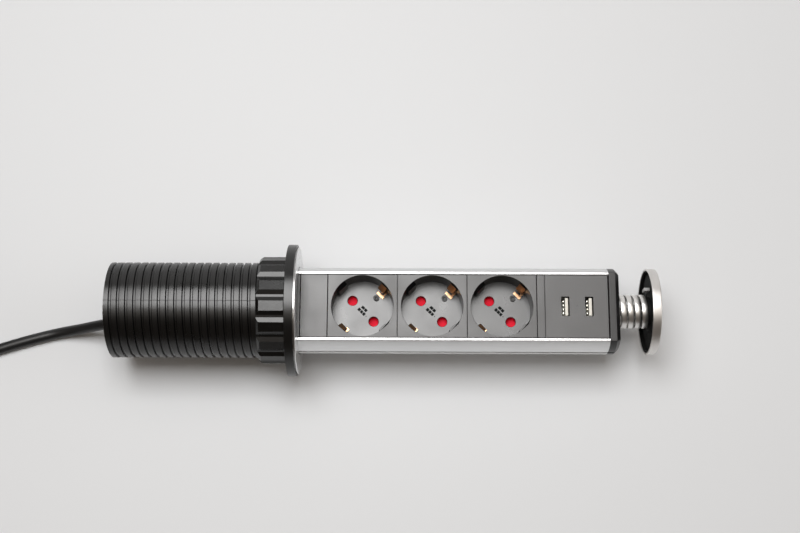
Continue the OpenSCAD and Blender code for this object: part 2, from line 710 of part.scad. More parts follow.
module stem_clip() color("#7c8086") difference() {
    rod_x(guide_x - ring_t - clip_gap, ring_t, stem_r + 2.2);
    rod_x(guide_x - ring_t - 1, ring_t + 2, clip_neck_r + run_gap);
    block([guide_x - ring_t - 1, -clip_neck_r - run_gap, 0],
        [guide_x + 1, clip_neck_r + run_gap, stem_r + 3]);
}
latch_y = spring_r + 1.4;
module lid_latch() color("#b4b6b8") difference() {
    block([insert_x - 3.6, latch_y, 0.5], [insert_x, latch_y + 2, 6.5]);
    block([insert_x - 2.2, latch_y - 1, 1.7], [insert_x - 1, latch_y + 1.2, 5.3]);
}

// Flat strip spring, wound right handed from its seat to the lid's plate
spring_from = seat_x + strip_w / 2 + 0.02;
spring_to = insert_x - strip_w / 2 - 0.02;
spring_turns = (spring_to - spring_from) / spring_pitch;
spring_rings = 24;
strip_crown = 0.3;
strip_section = [
    [spring_in, -strip_w / 2], [spring_r - strip_crown, -strip_w / 2], [spring_r, -strip_w / 6],
    [spring_r, strip_w / 6], [spring_r - strip_crown, strip_w / 2], [spring_in, strip_w / 2]
];
function spring_ring(k) = let (a = 360 * k / spring_rings, x = spring_from + spring_pitch * k / spring_rings)
    [for (q = strip_section) [x + q[1], -q[0] * sin(a), q[0] * cos(a)]];
module lid_spring() color("#c3c6ca") {
    n = floor(spring_turns * spring_rings);
    m = len(strip_section);
    points = [for (k = [0:n]) each spring_ring(k)];
    walls = [for (i = [0:n - 1], j = [0:m - 1]) let (a = i * m + j, b = i * m + (j + 1) % m)
        each [[a, b + m, b], [a, a + m, b + m]]];
    caps = [for (j = [1:m - 2]) each [[0, j, j + 1], [n * m, n * m + j + 1, n * m + j]]];
    polyhedron(points, concat(walls, caps));
    gaps = [for (i = [0:n - spring_rings], q = spring_ring(i), w = [-2:2],
        p = spring_ring(i + spring_rings + w)) norm(q - p)];
    echo(least_gap_of_spring = min(gaps));
}

// Cord: lead, coil in two layers that winds in and out again, and tail up to the plug on the coil
coil_turns = 2 * coil_loops;
coil_rings = 24;
function coil_reach(t) = t < coil_loops ? coil_r - coil_step * t
    : coil_r - coil_step * coil_loops + coil_step * max(t - coil_loops - 0.5, 0);
function coil_rise(t) = coil_step * min(max(2 * (t - coil_loops), 0), 1);
function coil_point(t) = let (a = -90 - 360 * t)
    [coil_x + coil_reach(t) * cos(a), coil_y + coil_reach(t) * sin(a), lie_z + coil_rise(t)];
coil_nib = 0.005;
coil_line = concat([coil_point(0), coil_point(coil_nib)],
    [for (k = [1:coil_turns * coil_rings - 1]) coil_point(k / coil_rings)],
    [coil_point(coil_turns - coil_nib), coil_point(coil_turns)]);
tail_r = coil_r - coil_step / 2;
tail_z = lie_z + coil_step;
tail_shift = 24;
tail_end = 4;
tail_steps = 24;
tail_nib = 0.002;
plug_reach = 38;
plug_x = coil_x - tail_shift + tail_end;
plug_y = coil_y + plug_reach;
plug_z = floor_z + cord_d + coil_step + plug_d / 2 + end_gap;
function tail_point(t) = let (s = t * t * (3 - 2 * t), a = -90 - 180 * t,
    r = tail_r + (plug_reach - tail_r) * s)
    [coil_x - end_gap - (tail_shift - end_gap) * s + r * cos(a), coil_y + r * sin(a),
        tail_z + (plug_z - tail_z) * s];
tail_line = concat([tail_point(0), tail_point(tail_nib)],
    [for (k = [1:tail_steps]) tail_point(k / tail_steps)], [[plug_x, plug_y, plug_z]]);
module cord_lead() color("#1b1b1d") sweep(smooth_line(lead_points, 2), ring_of(cord_d / 2, 12));
module cord_coil() color("#1b1b1d") {
    sweep(coil_line, ring_of(cord_d / 2, 6));
    gaps = [for (i = [0:len(coil_line) - 1], j = [i + 12:len(coil_line) - 1])
        norm(coil_line[i] - coil_line[j]) - cord_d];
    echo(least_gap_of_coil = min(gaps));
}
module cord_tail() color("#1b1b1d") sweep(tail_line, ring_of(cord_d / 2, 12));

// Plug with its back at the cord, pins pointing away, side strips and guide grooves
module in_plug() translate([plug_x, plug_y, plug_z]) children();
plug_r = plug_d / 2;
plug_back = 26;
lug_fit = 0.6;
strip_fit = 0.2;
strip_drop = 1.8;
module plug_body() color("#202023") in_plug() difference() {
    turned() polygon([[0, 0], [cord_d / 2 + 1.6, 0], [cord_d / 2 + 3, plug_back * 0.3],
        [plug_r * 0.7, plug_back * 0.54], [plug_r * 0.92, plug_back * 0.85], [plug_r, plug_back],
        [plug_r, plug_len - 2], [plug_r - lug_fit, plug_len], [0, plug_len]]);
    for (s = [0, 180]) rotate([s, 0, 0]) {
        block([plug_back, -clip_w / 2 - strip_fit, plug_r - strip_drop],
            [plug_len + 1, clip_w / 2 + strip_fit, plug_r + 1]);
        block([plug_back + 2, plug_r - lug_h - lug_fit, -lug_w / 2 - lug_fit / 2],
            [plug_len + 1, plug_r + 1, lug_w / 2 + lug_fit / 2]);
    }
}
module plug_earth_strips() color("#b7babd") in_plug() for (s = [0, 180]) rotate([s, 0, 0])
    block([plug_back + strip_fit, -clip_w / 2, plug_r - strip_drop],
        [plug_len - 1, clip_w / 2, plug_r - strip_drop + 1]);
module plug_pins() color("#c9ccd0") in_plug() for (s = [1, -1]) translate([plug_len, s * pin_at, 0]) turned()
    polygon([[0, 0], [plug_pin_d / 2, 0], [plug_pin_d / 2, plug_pin_len - 1.5],
        [plug_pin_d / 2 - 1, plug_pin_len], [0, plug_pin_len]]);

sleeve();
trim_ring();
brake_ring();
clamp_washer();
clamp_nut();
column_profile();
lower_panel();
blank_panel();
spacer_strip();
usb_panel();
socket_body_1();
socket_body_2();
socket_body_3();
contact_block_1();
contact_block_2();
contact_block_3();
shutter_1();
shutter_2();
shutter_3();
earth_clip_1();
earth_clip_2();
earth_clip_3();
earth_rivets();
block_screws();
live_bar();
neutral_bar();
earth_bar();
live_wire();
neutral_wire();
earth_wire();
usb_shells();
usb_tongues();
usb_board();
usb_converter();
head_cap();
head_cap_screws();
foot_cap();
foot_cap_screws();
cable_boot();
lid_cover();
lid_insert();
lid_stem();
stem_clip();
lid_latch();
lid_spring();
cord_lead();
cord_coil();
cord_tail();
plug_body();
plug_pins();
plug_earth_strips();
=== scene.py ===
import math
import bmesh
import bpy
from mathutils import Matrix, Vector


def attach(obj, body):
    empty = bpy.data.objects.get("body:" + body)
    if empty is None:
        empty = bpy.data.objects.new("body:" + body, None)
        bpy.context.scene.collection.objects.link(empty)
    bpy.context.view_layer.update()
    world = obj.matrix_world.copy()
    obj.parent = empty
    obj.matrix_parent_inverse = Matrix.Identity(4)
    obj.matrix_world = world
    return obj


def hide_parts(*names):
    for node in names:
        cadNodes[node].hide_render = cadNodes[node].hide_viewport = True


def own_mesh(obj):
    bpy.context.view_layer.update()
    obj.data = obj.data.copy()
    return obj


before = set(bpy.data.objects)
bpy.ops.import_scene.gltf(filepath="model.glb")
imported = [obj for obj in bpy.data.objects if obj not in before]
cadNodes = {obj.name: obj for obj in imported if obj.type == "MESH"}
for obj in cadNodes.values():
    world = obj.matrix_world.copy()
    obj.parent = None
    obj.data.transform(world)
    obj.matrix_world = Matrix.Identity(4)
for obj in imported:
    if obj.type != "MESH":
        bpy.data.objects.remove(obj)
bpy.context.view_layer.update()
mm = 0.001
print("frame loaded,", len(cadNodes), "nodes")


# camera, as in the photograph
cameraSettings = {"place": (70, -163, 799), "tilt": 13.5, "roll": 0.21, "lens": 58.05, "sensor": 36}


def placeCamera():
    look = cameraSettings
    turn = Matrix.Rotation(math.radians(look["tilt"]), 3, "X") @ Matrix.Rotation(math.radians(look["roll"]), 3, "Z")
    bpy.ops.object.select_all(action="DESELECT")
    bpy.ops.object.camera_add(location=Vector(look["place"]) * mm, rotation=turn.to_euler())
    camera = bpy.context.object
    camera.name = "benchCamera"
    camera.data.lens = look["lens"]
    camera.data.sensor_width = look["sensor"]
    bpy.context.scene.camera = camera


placeCamera()
print("camera placed")


# mains cord: the route of the CAD solids, drawn as one line
cordSettings = {
    "diameter": 7, "lie": -38, "coilCentre": (-258, 18), "coilRadius": 54, "coilStep": 8.4, "loops": 3,
    "lead": [(-82, -3, -14), (-92, -3, -14), (-112, -4.4, -18.5), (-124, -5.4, -23.5), (-140, -6.6, -32.5),
             (-154, -8.2, -37.4), (-168, -11.5, -38), (-182, -15.5, -38), (-197, -20.3, -38), (-214, -26, -38),
             (-228, -30.8, -38), (-240, -34.1, -38), (-250, -35.8, -38), (-258, -36, -38)],
    "tailShift": 24, "plugReach": 38, "plugBack": (-278, 56, -7.05), "leadSteps": 4, "coilSteps": 36, "tailSteps": 24,
}


def smoothLine(points, steps):
    rows = [Vector(p) for p in points]
    last = len(rows) - 1
    line = []
    for i in range(last):
        a, b, c, d = rows[max(i - 1, 0)], rows[i], rows[i + 1], rows[min(i + 2, last)]
        for k in range(steps):
            t = k / steps
            line.append(0.5 * (2 * b + (c - a) * t + (2 * a - 5 * b + 4 * c - d) * t ** 2
                               + (3 * b - a - 3 * c + d) * t ** 3))
    return line + [rows[last]]


def coilPoint(t):
    look = cordSettings
    step, loops = look["coilStep"], look["loops"]
    if t < loops:
        reach = look["coilRadius"] - step * t
    else:
        reach = look["coilRadius"] - step * loops + step * max(t - loops - 0.5, 0)
    rise = step * min(max(2 * (t - loops), 0), 1)
    angle = math.radians(-90 - 360 * t)
    x, y = look["coilCentre"]
    return Vector((x + reach * math.cos(angle), y + reach * math.sin(angle), look["lie"] + rise))


def tailPoint(t):                          # half a turn from the coil's end up to the plug, which lies on the coil
    look = cordSettings
    share = t * t * (3 - 2 * t)
    first = look["coilRadius"] - look["coilStep"] / 2
    reach = first + (look["plugReach"] - first) * share
    low = look["lie"] + look["coilStep"]
    angle = math.radians(-90 - 180 * t)
    x, y = look["coilCentre"]
    return Vector((x - look["tailShift"] * share + reach * math.cos(angle), y + reach * math.sin(angle),
                   low + (look["plugBack"][2] - low) * share))


def cordLine():
    look = cordSettings
    line = smoothLine(look["lead"], look["leadSteps"])
    turns = 2 * look["loops"]
    line += [coilPoint(k / look["coilSteps"]) for k in range(1, turns * look["coilSteps"] + 1)]
    line += [tailPoint(k / look["tailSteps"]) for k in range(1, look["tailSteps"] + 1)]
    return line + [Vector(look["plugBack"])]


def makeCord():
    look = cordSettings
    line = [p * mm for p in cordLine()]
    drawn = bpy.data.curves.new("mainsCord", "CURVE")
    drawn.dimensions = "3D"
    drawn.bevel_depth = look["diameter"] / 2 * mm
    drawn.bevel_resolution = 6
    drawn.use_fill_caps = True
    run = drawn.splines.new("POLY")
    run.points.add(len(line) - 1)
    for spot, point in zip(run.points, line):
        spot.co = (*point, 1)
    run.use_smooth = True
    cord = bpy.data.objects.new("mainsCord", drawn)
    bpy.context.scene.collection.objects.link(cord)
    length = sum((b - a).length for a, b in zip(line, line[1:]))
    print("cord drawn,", round(length, 3), "m")
    return cord, length


mainsCord, cordLength = makeCord()


# tools for modelling
def pick(piece):
    if bpy.context.object and bpy.context.object.mode != "OBJECT":
        bpy.ops.object.mode_set(mode="OBJECT")
    bpy.ops.object.select_all(action="DESELECT")
    piece.select_set(True)
    bpy.context.view_layer.objects.active = piece
    return piece


def editAll(piece):
    pick(piece)
    bpy.ops.object.mode_set(mode="EDIT")
    bpy.ops.mesh.select_mode(type="VERT")
    bpy.ops.mesh.select_all(action="SELECT")


def named(name):
    piece = bpy.context.object
    bpy.ops.object.transform_apply(location=True, rotation=True, scale=True)
    piece.name = piece.data.name = name
    return piece


def block(name, low, high):                # a box between two corners, in mm
    low, high = Vector(low), Vector(high)
    bpy.ops.object.select_all(action="DESELECT")
    bpy.ops.mesh.primitive_cube_add(size=1, location=(low + high) / 2 * mm, scale=(high - low) * mm)
    return named(name)


def rod(name, start, end, radius, sides=96):
    start, end = Vector(start), Vector(end)
    run = end - start
    bpy.ops.object.select_all(action="DESELECT")
    bpy.ops.mesh.primitive_cylinder_add(vertices=sides, radius=radius * mm, depth=run.length * mm,
                                        location=(start + end) / 2 * mm,
                                        rotation=run.to_track_quat("Z", "Y").to_euler())
    return named(name)


def drawLine(name, points):                # a chain of points, left selected in edit mode
    bpy.ops.object.select_all(action="DESELECT")
    bpy.ops.mesh.primitive_plane_add(size=mm)
    piece = named(name)
    editAll(piece)
    bpy.ops.mesh.merge(type="CENTER")
    rows = [Vector(p) * mm for p in points]
    bpy.ops.transform.translate(value=rows[0])
    for a, b in zip(rows, rows[1:]):
        bpy.ops.mesh.extrude_vertices_move(TRANSFORM_OT_translate={"value": b - a})
    bpy.ops.mesh.select_all(action="SELECT")
    return piece


def onlySpots(piece, numbers):             # leaves just these points of a drawn line selected
    bpy.ops.mesh.select_all(action="DESELECT")
    bpy.ops.object.mode_set(mode="OBJECT")
    for k in numbers:
        piece.data.vertices[k].select = True
    bpy.ops.object.mode_set(mode="EDIT")


def closed(piece, sides):                  # caps the ends and turns every face outwards
    editAll(piece)
    bpy.ops.mesh.fill_holes(sides=sides)
    bpy.ops.mesh.select_all(action="SELECT")
    bpy.ops.mesh.normals_make_consistent(inside=False)
    bpy.ops.object.mode_set(mode="OBJECT")
    return piece


def turned(name, steps, sides=128, centre=(0, 0, 0), axis="X"):
    centre = Vector(centre)                # steps are (along, radius)
    if axis == "X":
        points = [centre + Vector((along, 0, radius)) for along, radius in steps]
    else:
        points = [centre + Vector((radius, 0, along)) for along, radius in steps]
    piece = drawLine(name, points)
    bpy.ops.mesh.spin(steps=sides, angle=2 * math.pi, center=centre * mm,
                      axis=(1, 0, 0) if axis == "X" else (0, 0, 1))
    bpy.ops.mesh.select_all(action="SELECT")
    bpy.ops.mesh.remove_doubles(threshold=0.001 * mm)
    bpy.ops.mesh.normals_make_consistent(inside=False)
    bpy.ops.object.mode_set(mode="OBJECT")
    return piece


def applied(piece, kind, **settings):
    pick(piece)
    step = piece.modifiers.new(kind.lower(), kind)
    for label, value in settings.items():
        setattr(step, label, value)
    bpy.ops.object.modifier_apply(modifier=step.name)
    return piece


def combine(piece, other, way):
    applied(piece, "BOOLEAN", operation=way, object=other, solver="EXACT")
    bpy.data.objects.remove(other)
    return piece


def carve(piece, cutter):
    return combine(piece, cutter, "DIFFERENCE")


def fuse(piece, other):
    return combine(piece, other, "UNION")


def evenNormals(piece):                    # large faces set the shading, so flat ones stay flat
    return applied(piece, "WEIGHTED_NORMAL", weight=80, keep_sharp=True)


def smooth(piece, angle=32):
    pick(piece)
    bpy.ops.object.shade_smooth_by_angle(angle=math.radians(angle))
    return evenNormals(piece)


def soften(piece, width, segments=3, angle=30):   # rounds every sharp edge
    applied(piece, "BEVEL", width=width * mm, segments=segments, limit_method="ANGLE",
            angle_limit=math.radians(angle), miter_outer="MITER_ARC")
    pick(piece)
    bpy.ops.object.shade_smooth()
    return evenNormals(piece)


def softenWhere(piece, width, segments, chosen, angle=30):   # rounds the sharp edges that chosen(a, b) names
    pick(piece)
    bpy.ops.object.mode_set(mode="EDIT")
    bpy.ops.mesh.select_mode(type="EDGE")
    bpy.ops.mesh.select_all(action="DESELECT")
    cage = bmesh.from_edit_mesh(piece.data)
    for edge in cage.edges:
        a, b = (corner.co / mm for corner in edge.verts)
        if edge.is_manifold and edge.calc_face_angle() > math.radians(angle) and chosen(a, b):
            edge.select_set(True)
    bmesh.update_edit_mesh(piece.data)
    bpy.ops.mesh.bevel(offset=width * mm, segments=segments, affect="EDGES")
    bpy.ops.object.mode_set(mode="OBJECT")
    return piece


def joined(name, pieces):
    pick(pieces[0])
    for piece in pieces[1:]:
        piece.select_set(True)
    bpy.ops.object.join()
    piece = bpy.context.object
    piece.name = piece.data.name = name
    return piece


def moved(piece, name, shift):             # a copy with its own mesh
    copy = bpy.data.objects.new(name, piece.data.copy())
    copy.data.name = name
    bpy.context.scene.collection.objects.link(copy)
    editAll(copy)
    bpy.ops.transform.translate(value=Vector(shift) * mm)
    bpy.ops.object.mode_set(mode="OBJECT")
    return copy


def turnedBy(piece, degrees, centre, axis=(0, 0, 1)):
    editAll(piece)
    letter = "XYZ"[max(range(3), key=lambda k: axis[k])]
    bpy.ops.transform.rotate(value=-math.radians(degrees), orient_axis=letter, center_override=Vector(centre) * mm)
    bpy.ops.object.mode_set(mode="OBJECT")
    return piece


def fromCad(node, name, width, segments, angle=30):   # a merged copy of a node with rounded edges
    piece = bpy.data.objects.new(name, cadNodes[node].data.copy())
    piece.data.name = name
    bpy.context.scene.collection.objects.link(piece)
    pick(piece)
    bpy.ops.mesh.customdata_custom_splitnormals_clear()
    editAll(piece)
    bpy.ops.mesh.remove_doubles(threshold=0.002 * mm)
    bpy.ops.mesh.dissolve_limited(angle_limit=math.radians(0.4))
    bpy.ops.object.mode_set(mode="OBJECT")
    return soften(piece, width, segments, angle)


# shader effects that several finishes share
def addNode(tree, kind, inputs=None, **settings):
    made = tree.nodes.new(kind)
    for label, value in settings.items():
        setattr(made, label, value)
    for label, value in (inputs or {}).items():
        if isinstance(value, bpy.types.NodeSocket):
            tree.links.new(value, made.inputs[label])
        else:
            made.inputs[label].default_value = value
    return made


def linkGroup(tree, effect, inputs):
    return addNode(tree, "ShaderNodeGroup", inputs, node_tree=groups[effect])


def newGroup(name, inputs, outputs):
    group = bpy.data.node_groups.new(name, "ShaderNodeTree")
    for label, kind in inputs:
        group.interface.new_socket(label, in_out="INPUT", socket_type="NodeSocket" + kind)
    for label, kind in outputs:
        group.interface.new_socket(label, in_out="OUTPUT", socket_type="NodeSocket" + kind)
    return group, group.nodes.new("NodeGroupInput").outputs, group.nodes.new("NodeGroupOutput").inputs


finishInputs = [("Vector", "Vector"), ("Scale", "Float"), ("Dark", "Color"), ("Light", "Color"),
                ("Smooth", "Float"), ("Rough", "Float")]
finishOutputs = [("Colour", "Color"), ("Roughness", "Float"), ("Height", "Float")]


def finishEnds(group, given, results, tone, gloss, height):
    colour = addNode(group, "ShaderNodeMix", {0: tone, 6: given["Dark"], 7: given["Light"]}, data_type="RGBA")
    rough = addNode(group, "ShaderNodeMapRange", {"Value": gloss, "From Min": 0.3, "From Max": 0.7,
                                                  "To Min": given["Smooth"], "To Max": given["Rough"]})
    group.links.new(colour.outputs[2], results["Colour"])
    group.links.new(rough.outputs[0], results["Roughness"])
    group.links.new(height, results["Height"])


def makeMouldGrain():                      # spark-eroded mould texture with faint flow marks
    group, given, results = newGroup("mouldGrain", finishInputs, finishOutputs)
    fine = addNode(group, "ShaderNodeTexNoise", {"Vector": given["Vector"], "Scale": given["Scale"],
                                                 "Detail": 3, "Roughness": 0.6})
    wide = addNode(group, "ShaderNodeMath", {0: given["Scale"], 1: 0.035}, operation="MULTIPLY")
    flow = addNode(group, "ShaderNodeTexNoise", {"Vector": given["Vector"], "Scale": wide.outputs[0], "Detail": 2})
    part = addNode(group, "ShaderNodeMath", {0: fine.outputs[0], 1: 0.55}, operation="MULTIPLY")
    tone = addNode(group, "ShaderNodeMath", {0: flow.outputs[0], 1: 0.45, 2: part.outputs[0]},
                   operation="MULTIPLY_ADD")
    finishEnds(group, given, results, tone.outputs[0], flow.outputs[0], fine.outputs[0])
    return group


def makeDrawnLines():                      # lines along the vector's X, as drawing or brushing leaves
    group, given, results = newGroup("drawnLines", finishInputs, finishOutputs)
    long = addNode(group, "ShaderNodeVectorMath", {0: given["Vector"], 1: (0.012, 1, 1)}, operation="MULTIPLY")
    lines = addNode(group, "ShaderNodeTexNoise", {"Vector": long.outputs[0], "Scale": given["Scale"],
                                                  "Detail": 4, "Roughness": 0.65})
    wide = addNode(group, "ShaderNodeMath", {0: given["Scale"], 1: 0.02}, operation="MULTIPLY")
    cloud = addNode(group, "ShaderNodeTexNoise", {"Vector": given["Vector"], "Scale": wide.outputs[0], "Detail": 2})
    part = addNode(group, "ShaderNodeMath", {0: lines.outputs[0], 1: 0.7}, operation="MULTIPLY")
    tone = addNode(group, "ShaderNodeMath", {0: cloud.outputs[0], 1: 0.3, 2: part.outputs[0]},
                   operation="MULTIPLY_ADD")
    finishEnds(group, given, results, tone.outputs[0], lines.outputs[0], lines.outputs[0])
    return group


def makeRoundPlace():                      # places round the X axis, so that drawn lines run round a turned piece
    group, given, results = newGroup("roundPlace", [("Vector", "Vector")], [("Vector", "Vector")])
    apart = addNode(group, "ShaderNodeSeparateXYZ", {0: given["Vector"]})
    flat = addNode(group, "ShaderNodeCombineXYZ", {1: apart.outputs[1], 2: apart.outputs[2]})
    reach = addNode(group, "ShaderNodeVectorMath", {0: flat.outputs[0]}, operation="LENGTH")
    made = addNode(group, "ShaderNodeCombineXYZ", {0: apart.outputs[1], 1: reach.outputs["Value"],
                                                   2: apart.outputs[0]})
    group.links.new(made.outputs[0], results["Vector"])
    return group


partLineSettings = {"half": 0.16, "rougher": 0.5}


def makePartLine():                        # the line that the mould's halves leave along the top of the barrel
    look = partLineSettings
    group, given, results = newGroup("partLine", [("Vector", "Vector"), ("Roughness", "Float")],
                                     [("Roughness", "Float")])
    apart = addNode(group, "ShaderNodeSeparateXYZ", {0: given["Vector"]})
    side = addNode(group, "ShaderNodeMath", {0: apart.outputs[1]}, operation="ABSOLUTE")
    near = addNode(group, "ShaderNodeMath", {0: side.outputs[0], 1: look["half"] * mm}, operation="LESS_THAN")
    above = addNode(group, "ShaderNodeMath", {0: apart.outputs[2], 1: 0}, operation="GREATER_THAN")
    barrel = addNode(group, "ShaderNodeMath", {0: apart.outputs[0], 1: 0}, operation="LESS_THAN")
    here = addNode(group, "ShaderNodeMath", {0: above.outputs[0], 1: barrel.outputs[0]}, operation="MULTIPLY")
    both = addNode(group, "ShaderNodeMath", {0: near.outputs[0], 1: here.outputs[0]}, operation="MULTIPLY")
    rough = addNode(group, "ShaderNodeMath", {0: both.outputs[0], 1: look["rougher"], 2: given["Roughness"]},
                    operation="MULTIPLY_ADD")
    group.links.new(rough.outputs[0], results["Roughness"])
    return group


groups = {"mould": makeMouldGrain(), "drawn": makeDrawnLines(), "round": makeRoundPlace(), "part": makePartLine()}
print("shader groups made")

# finishes: dark and light are the two ends of the colour, smooth and rough those of the roughness; drawn ones are metal
finishes = {
    "barrelPlastic": {"effect": "mould", "dark": (0.0006, 0.0006, 0.0006), "light": (0.0022, 0.0021, 0.002),
                      "smooth": 0.26, "rough": 0.34, "scale": 1700, "depth": 0.012, "specular": 0.56, "partLine": True},
    "nutPlastic": {"effect": "mould", "dark": (0.0006, 0.0006, 0.0006), "light": (0.0022, 0.0021, 0.002),
                   "smooth": 0.22, "rough": 0.3, "scale": 2200, "depth": 0.01, "specular": 0.5},
    "capPlastic": {"effect": "mould", "dark": (0.004, 0.004, 0.0044), "light": (0.01, 0.01, 0.0108),
                   "smooth": 0.28, "rough": 0.36, "scale": 2200, "depth": 0.012, "specular": 0.6},
    "insertBlack": {"effect": "mould", "dark": (0.002, 0.002, 0.002), "light": (0.008, 0.008, 0.008),
                    "smooth": 0.6, "rough": 0.75, "scale": 2200, "depth": 0.02, "specular": 0.15},
    "panelPlastic": {"effect": "mould", "dark": (0.028, 0.028, 0.029), "light": (0.07, 0.069, 0.07),
                     "smooth": 0.36, "rough": 0.46, "scale": 1500, "depth": 0.03, "specular": 0.75},
    "socketPlastic": {"effect": "mould", "dark": (0.008, 0.008, 0.0084), "light": (0.02, 0.02, 0.0205),
                      "smooth": 0.26, "rough": 0.34, "scale": 1900, "depth": 0.012, "specular": 0.88},
    # painted shade: a darker, less glossy copy of the socket plastic, for the recess wall and the sides of the lugs
    "paintedShadeWall": {"effect": "mould", "dark": (0.003, 0.003, 0.003), "light": (0.007, 0.007, 0.007),
                    "smooth": 0.3, "rough": 0.4, "scale": 1900, "depth": 0.012, "specular": 0.3},
    "shutterRed": {"effect": "mould", "dark": (0.84, 0.006, 0.028), "light": (0.95, 0.01, 0.042),
                   "smooth": 0.46, "rough": 0.56, "scale": 2400, "depth": 0.01, "specular": 0.1},
    "rivetGrey": {"effect": "mould", "dark": (0.025, 0.025, 0.026), "light": (0.055, 0.055, 0.056),
                  "smooth": 0.36, "rough": 0.5, "scale": 2600, "depth": 0.02, "specular": 0.5},
    "shellTin": {"effect": "drawn", "dark": (0.14, 0.14, 0.13), "light": (0.26, 0.26, 0.25),
                 "smooth": 0.36, "rough": 0.46, "scale": 2600, "depth": 0.01},
    "tongueCream": {"effect": "mould", "dark": (0.78, 0.76, 0.68), "light": (0.88, 0.86, 0.79),
                    "smooth": 0.4, "rough": 0.5, "scale": 2600, "depth": 0.01},
    "catchGrey": {"effect": "mould", "dark": (0.36, 0.36, 0.36), "light": (0.46, 0.46, 0.46),
                  "smooth": 0.4, "rough": 0.5, "scale": 2400, "depth": 0.015},
    "printBlack": {"effect": "mould", "dark": (0.004, 0.004, 0.004), "light": (0.01, 0.01, 0.01),
                   "smooth": 0.8, "rough": 0.9, "scale": 3000, "depth": 0.01, "specular": 0.1},
    "blockPlastic": {"effect": "mould", "dark": (0.025, 0.025, 0.027), "light": (0.045, 0.045, 0.047),
                     "smooth": 0.45, "rough": 0.55, "scale": 2000, "depth": 0.02},
    "boardGreen": {"effect": "mould", "dark": (0.02, 0.09, 0.04), "light": (0.04, 0.15, 0.07),
                   "smooth": 0.28, "rough": 0.36, "scale": 1200, "depth": 0.02},
    "coilTape": {"effect": "mould", "dark": (0.55, 0.42, 0.06), "light": (0.7, 0.56, 0.12),
                 "smooth": 0.3, "rough": 0.42, "scale": 1500, "depth": 0.02},
    "brakeFelt": {"effect": "mould", "dark": (0.006, 0.006, 0.006), "light": (0.03, 0.03, 0.03),
                  "smooth": 0.85, "rough": 0.95, "scale": 2600, "depth": 0.2},
    "cordRubber": {"effect": "mould", "dark": (0.004, 0.004, 0.0044), "light": (0.011, 0.011, 0.0115),
                   "smooth": 0.32, "rough": 0.42, "scale": 1800, "depth": 0.02},
    "coreBrown": {"effect": "mould", "dark": (0.11, 0.05, 0.025), "light": (0.17, 0.08, 0.04),
                  "smooth": 0.4, "rough": 0.5, "scale": 2400, "depth": 0.01},
    "coreBlue": {"effect": "mould", "dark": (0.04, 0.12, 0.34), "light": (0.07, 0.18, 0.44),
                 "smooth": 0.4, "rough": 0.5, "scale": 2400, "depth": 0.01},
    "coreGreen": {"effect": "mould", "dark": (0.2, 0.32, 0.04), "light": (0.5, 0.5, 0.05),
                  "smooth": 0.4, "rough": 0.5, "scale": 900, "depth": 0.01},
    "satinAluminium": {"effect": "drawn", "dark": (0.66, 0.665, 0.67), "light": (0.82, 0.825, 0.83),
                       "smooth": 0.3, "rough": 0.4, "scale": 2600, "depth": 0.012},
    "lidSteel": {"effect": "drawn", "round": True, "dark": (0.64, 0.622, 0.605),
                 "light": (0.82, 0.8, 0.78), "smooth": 0.33, "rough": 0.43, "scale": 4200, "depth": 0.014},
    "trimSteel": {"effect": "drawn", "round": True, "dark": (0.7, 0.7, 0.7),
                  "light": (0.84, 0.84, 0.84), "smooth": 0.24, "rough": 0.34, "scale": 4200, "depth": 0.012},
    "springSteel": {"effect": "drawn", "round": True, "dark": (0.7, 0.69, 0.67),
                    "light": (0.88, 0.87, 0.85), "smooth": 0.3, "rough": 0.4, "scale": 3000, "depth": 0.01},
    "clipBronze": {"effect": "drawn", "dark": (0.58, 0.33, 0.18), "light": (0.76, 0.48, 0.29),
                   "smooth": 0.3, "rough": 0.4, "scale": 2400, "depth": 0.01},
    "barBrass": {"effect": "drawn", "dark": (0.6, 0.4, 0.16), "light": (0.75, 0.52, 0.24),
                 "smooth": 0.28, "rough": 0.38, "scale": 2400, "depth": 0.01},
    "nickelPlate": {"effect": "drawn", "dark": (0.5, 0.5, 0.49), "light": (0.66, 0.66, 0.65),
                    "smooth": 0.24, "rough": 0.34, "scale": 2600, "depth": 0.01},
    "contactTin": {"effect": "drawn", "dark": (0.74, 0.71, 0.62), "light": (0.86, 0.83, 0.74),
                   "smooth": 0.24, "rough": 0.34, "scale": 3000, "depth": 0.006},
}


def makeFinish(name, look):
    material = bpy.data.materials.new(name)
    material.use_nodes = True
    tree = material.node_tree
    shader = tree.nodes["Principled BSDF"]
    place = addNode(tree, "ShaderNodeTexCoord").outputs["Object"]
    if look.get("round"):
        place = linkGroup(tree, "round", {"Vector": place}).outputs[0]
    made = linkGroup(tree, look["effect"], {
        "Vector": place, "Scale": look["scale"], "Dark": (*look["dark"], 1), "Light": (*look["light"], 1),
        "Smooth": look["smooth"], "Rough": look["rough"]})
    bump = addNode(tree, "ShaderNodeBump", {"Strength": 1, "Distance": look["depth"] * mm,
                                            "Height": made.outputs["Height"]})
    tree.links.new(made.outputs["Colour"], shader.inputs["Base Color"])
    gloss = made.outputs["Roughness"]
    if look.get("partLine"):
        gloss = linkGroup(tree, "part", {"Vector": place, "Roughness": gloss}).outputs[0]
    tree.links.new(gloss, shader.inputs["Roughness"])
    tree.links.new(bump.outputs[0], shader.inputs["Normal"])
    shader.inputs["Metallic"].default_value = 1 if look["effect"] == "drawn" else 0
    shader.inputs["Specular IOR Level"].default_value = look.get("specular", 0.5)
    return material


materials = {name: makeFinish(name, look) for name, look in finishes.items()}
print(len(materials), "finishes made")


def paint(piece, finish):
    piece.data.materials.clear()
    piece.data.materials.append(materials[finish])
    return piece


def settle(piece, body, finish, slot, *stoodFor):
    paint(piece, finish)
    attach(piece, body)
    if stoodFor:
        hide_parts(*stoodFor)
    return piece


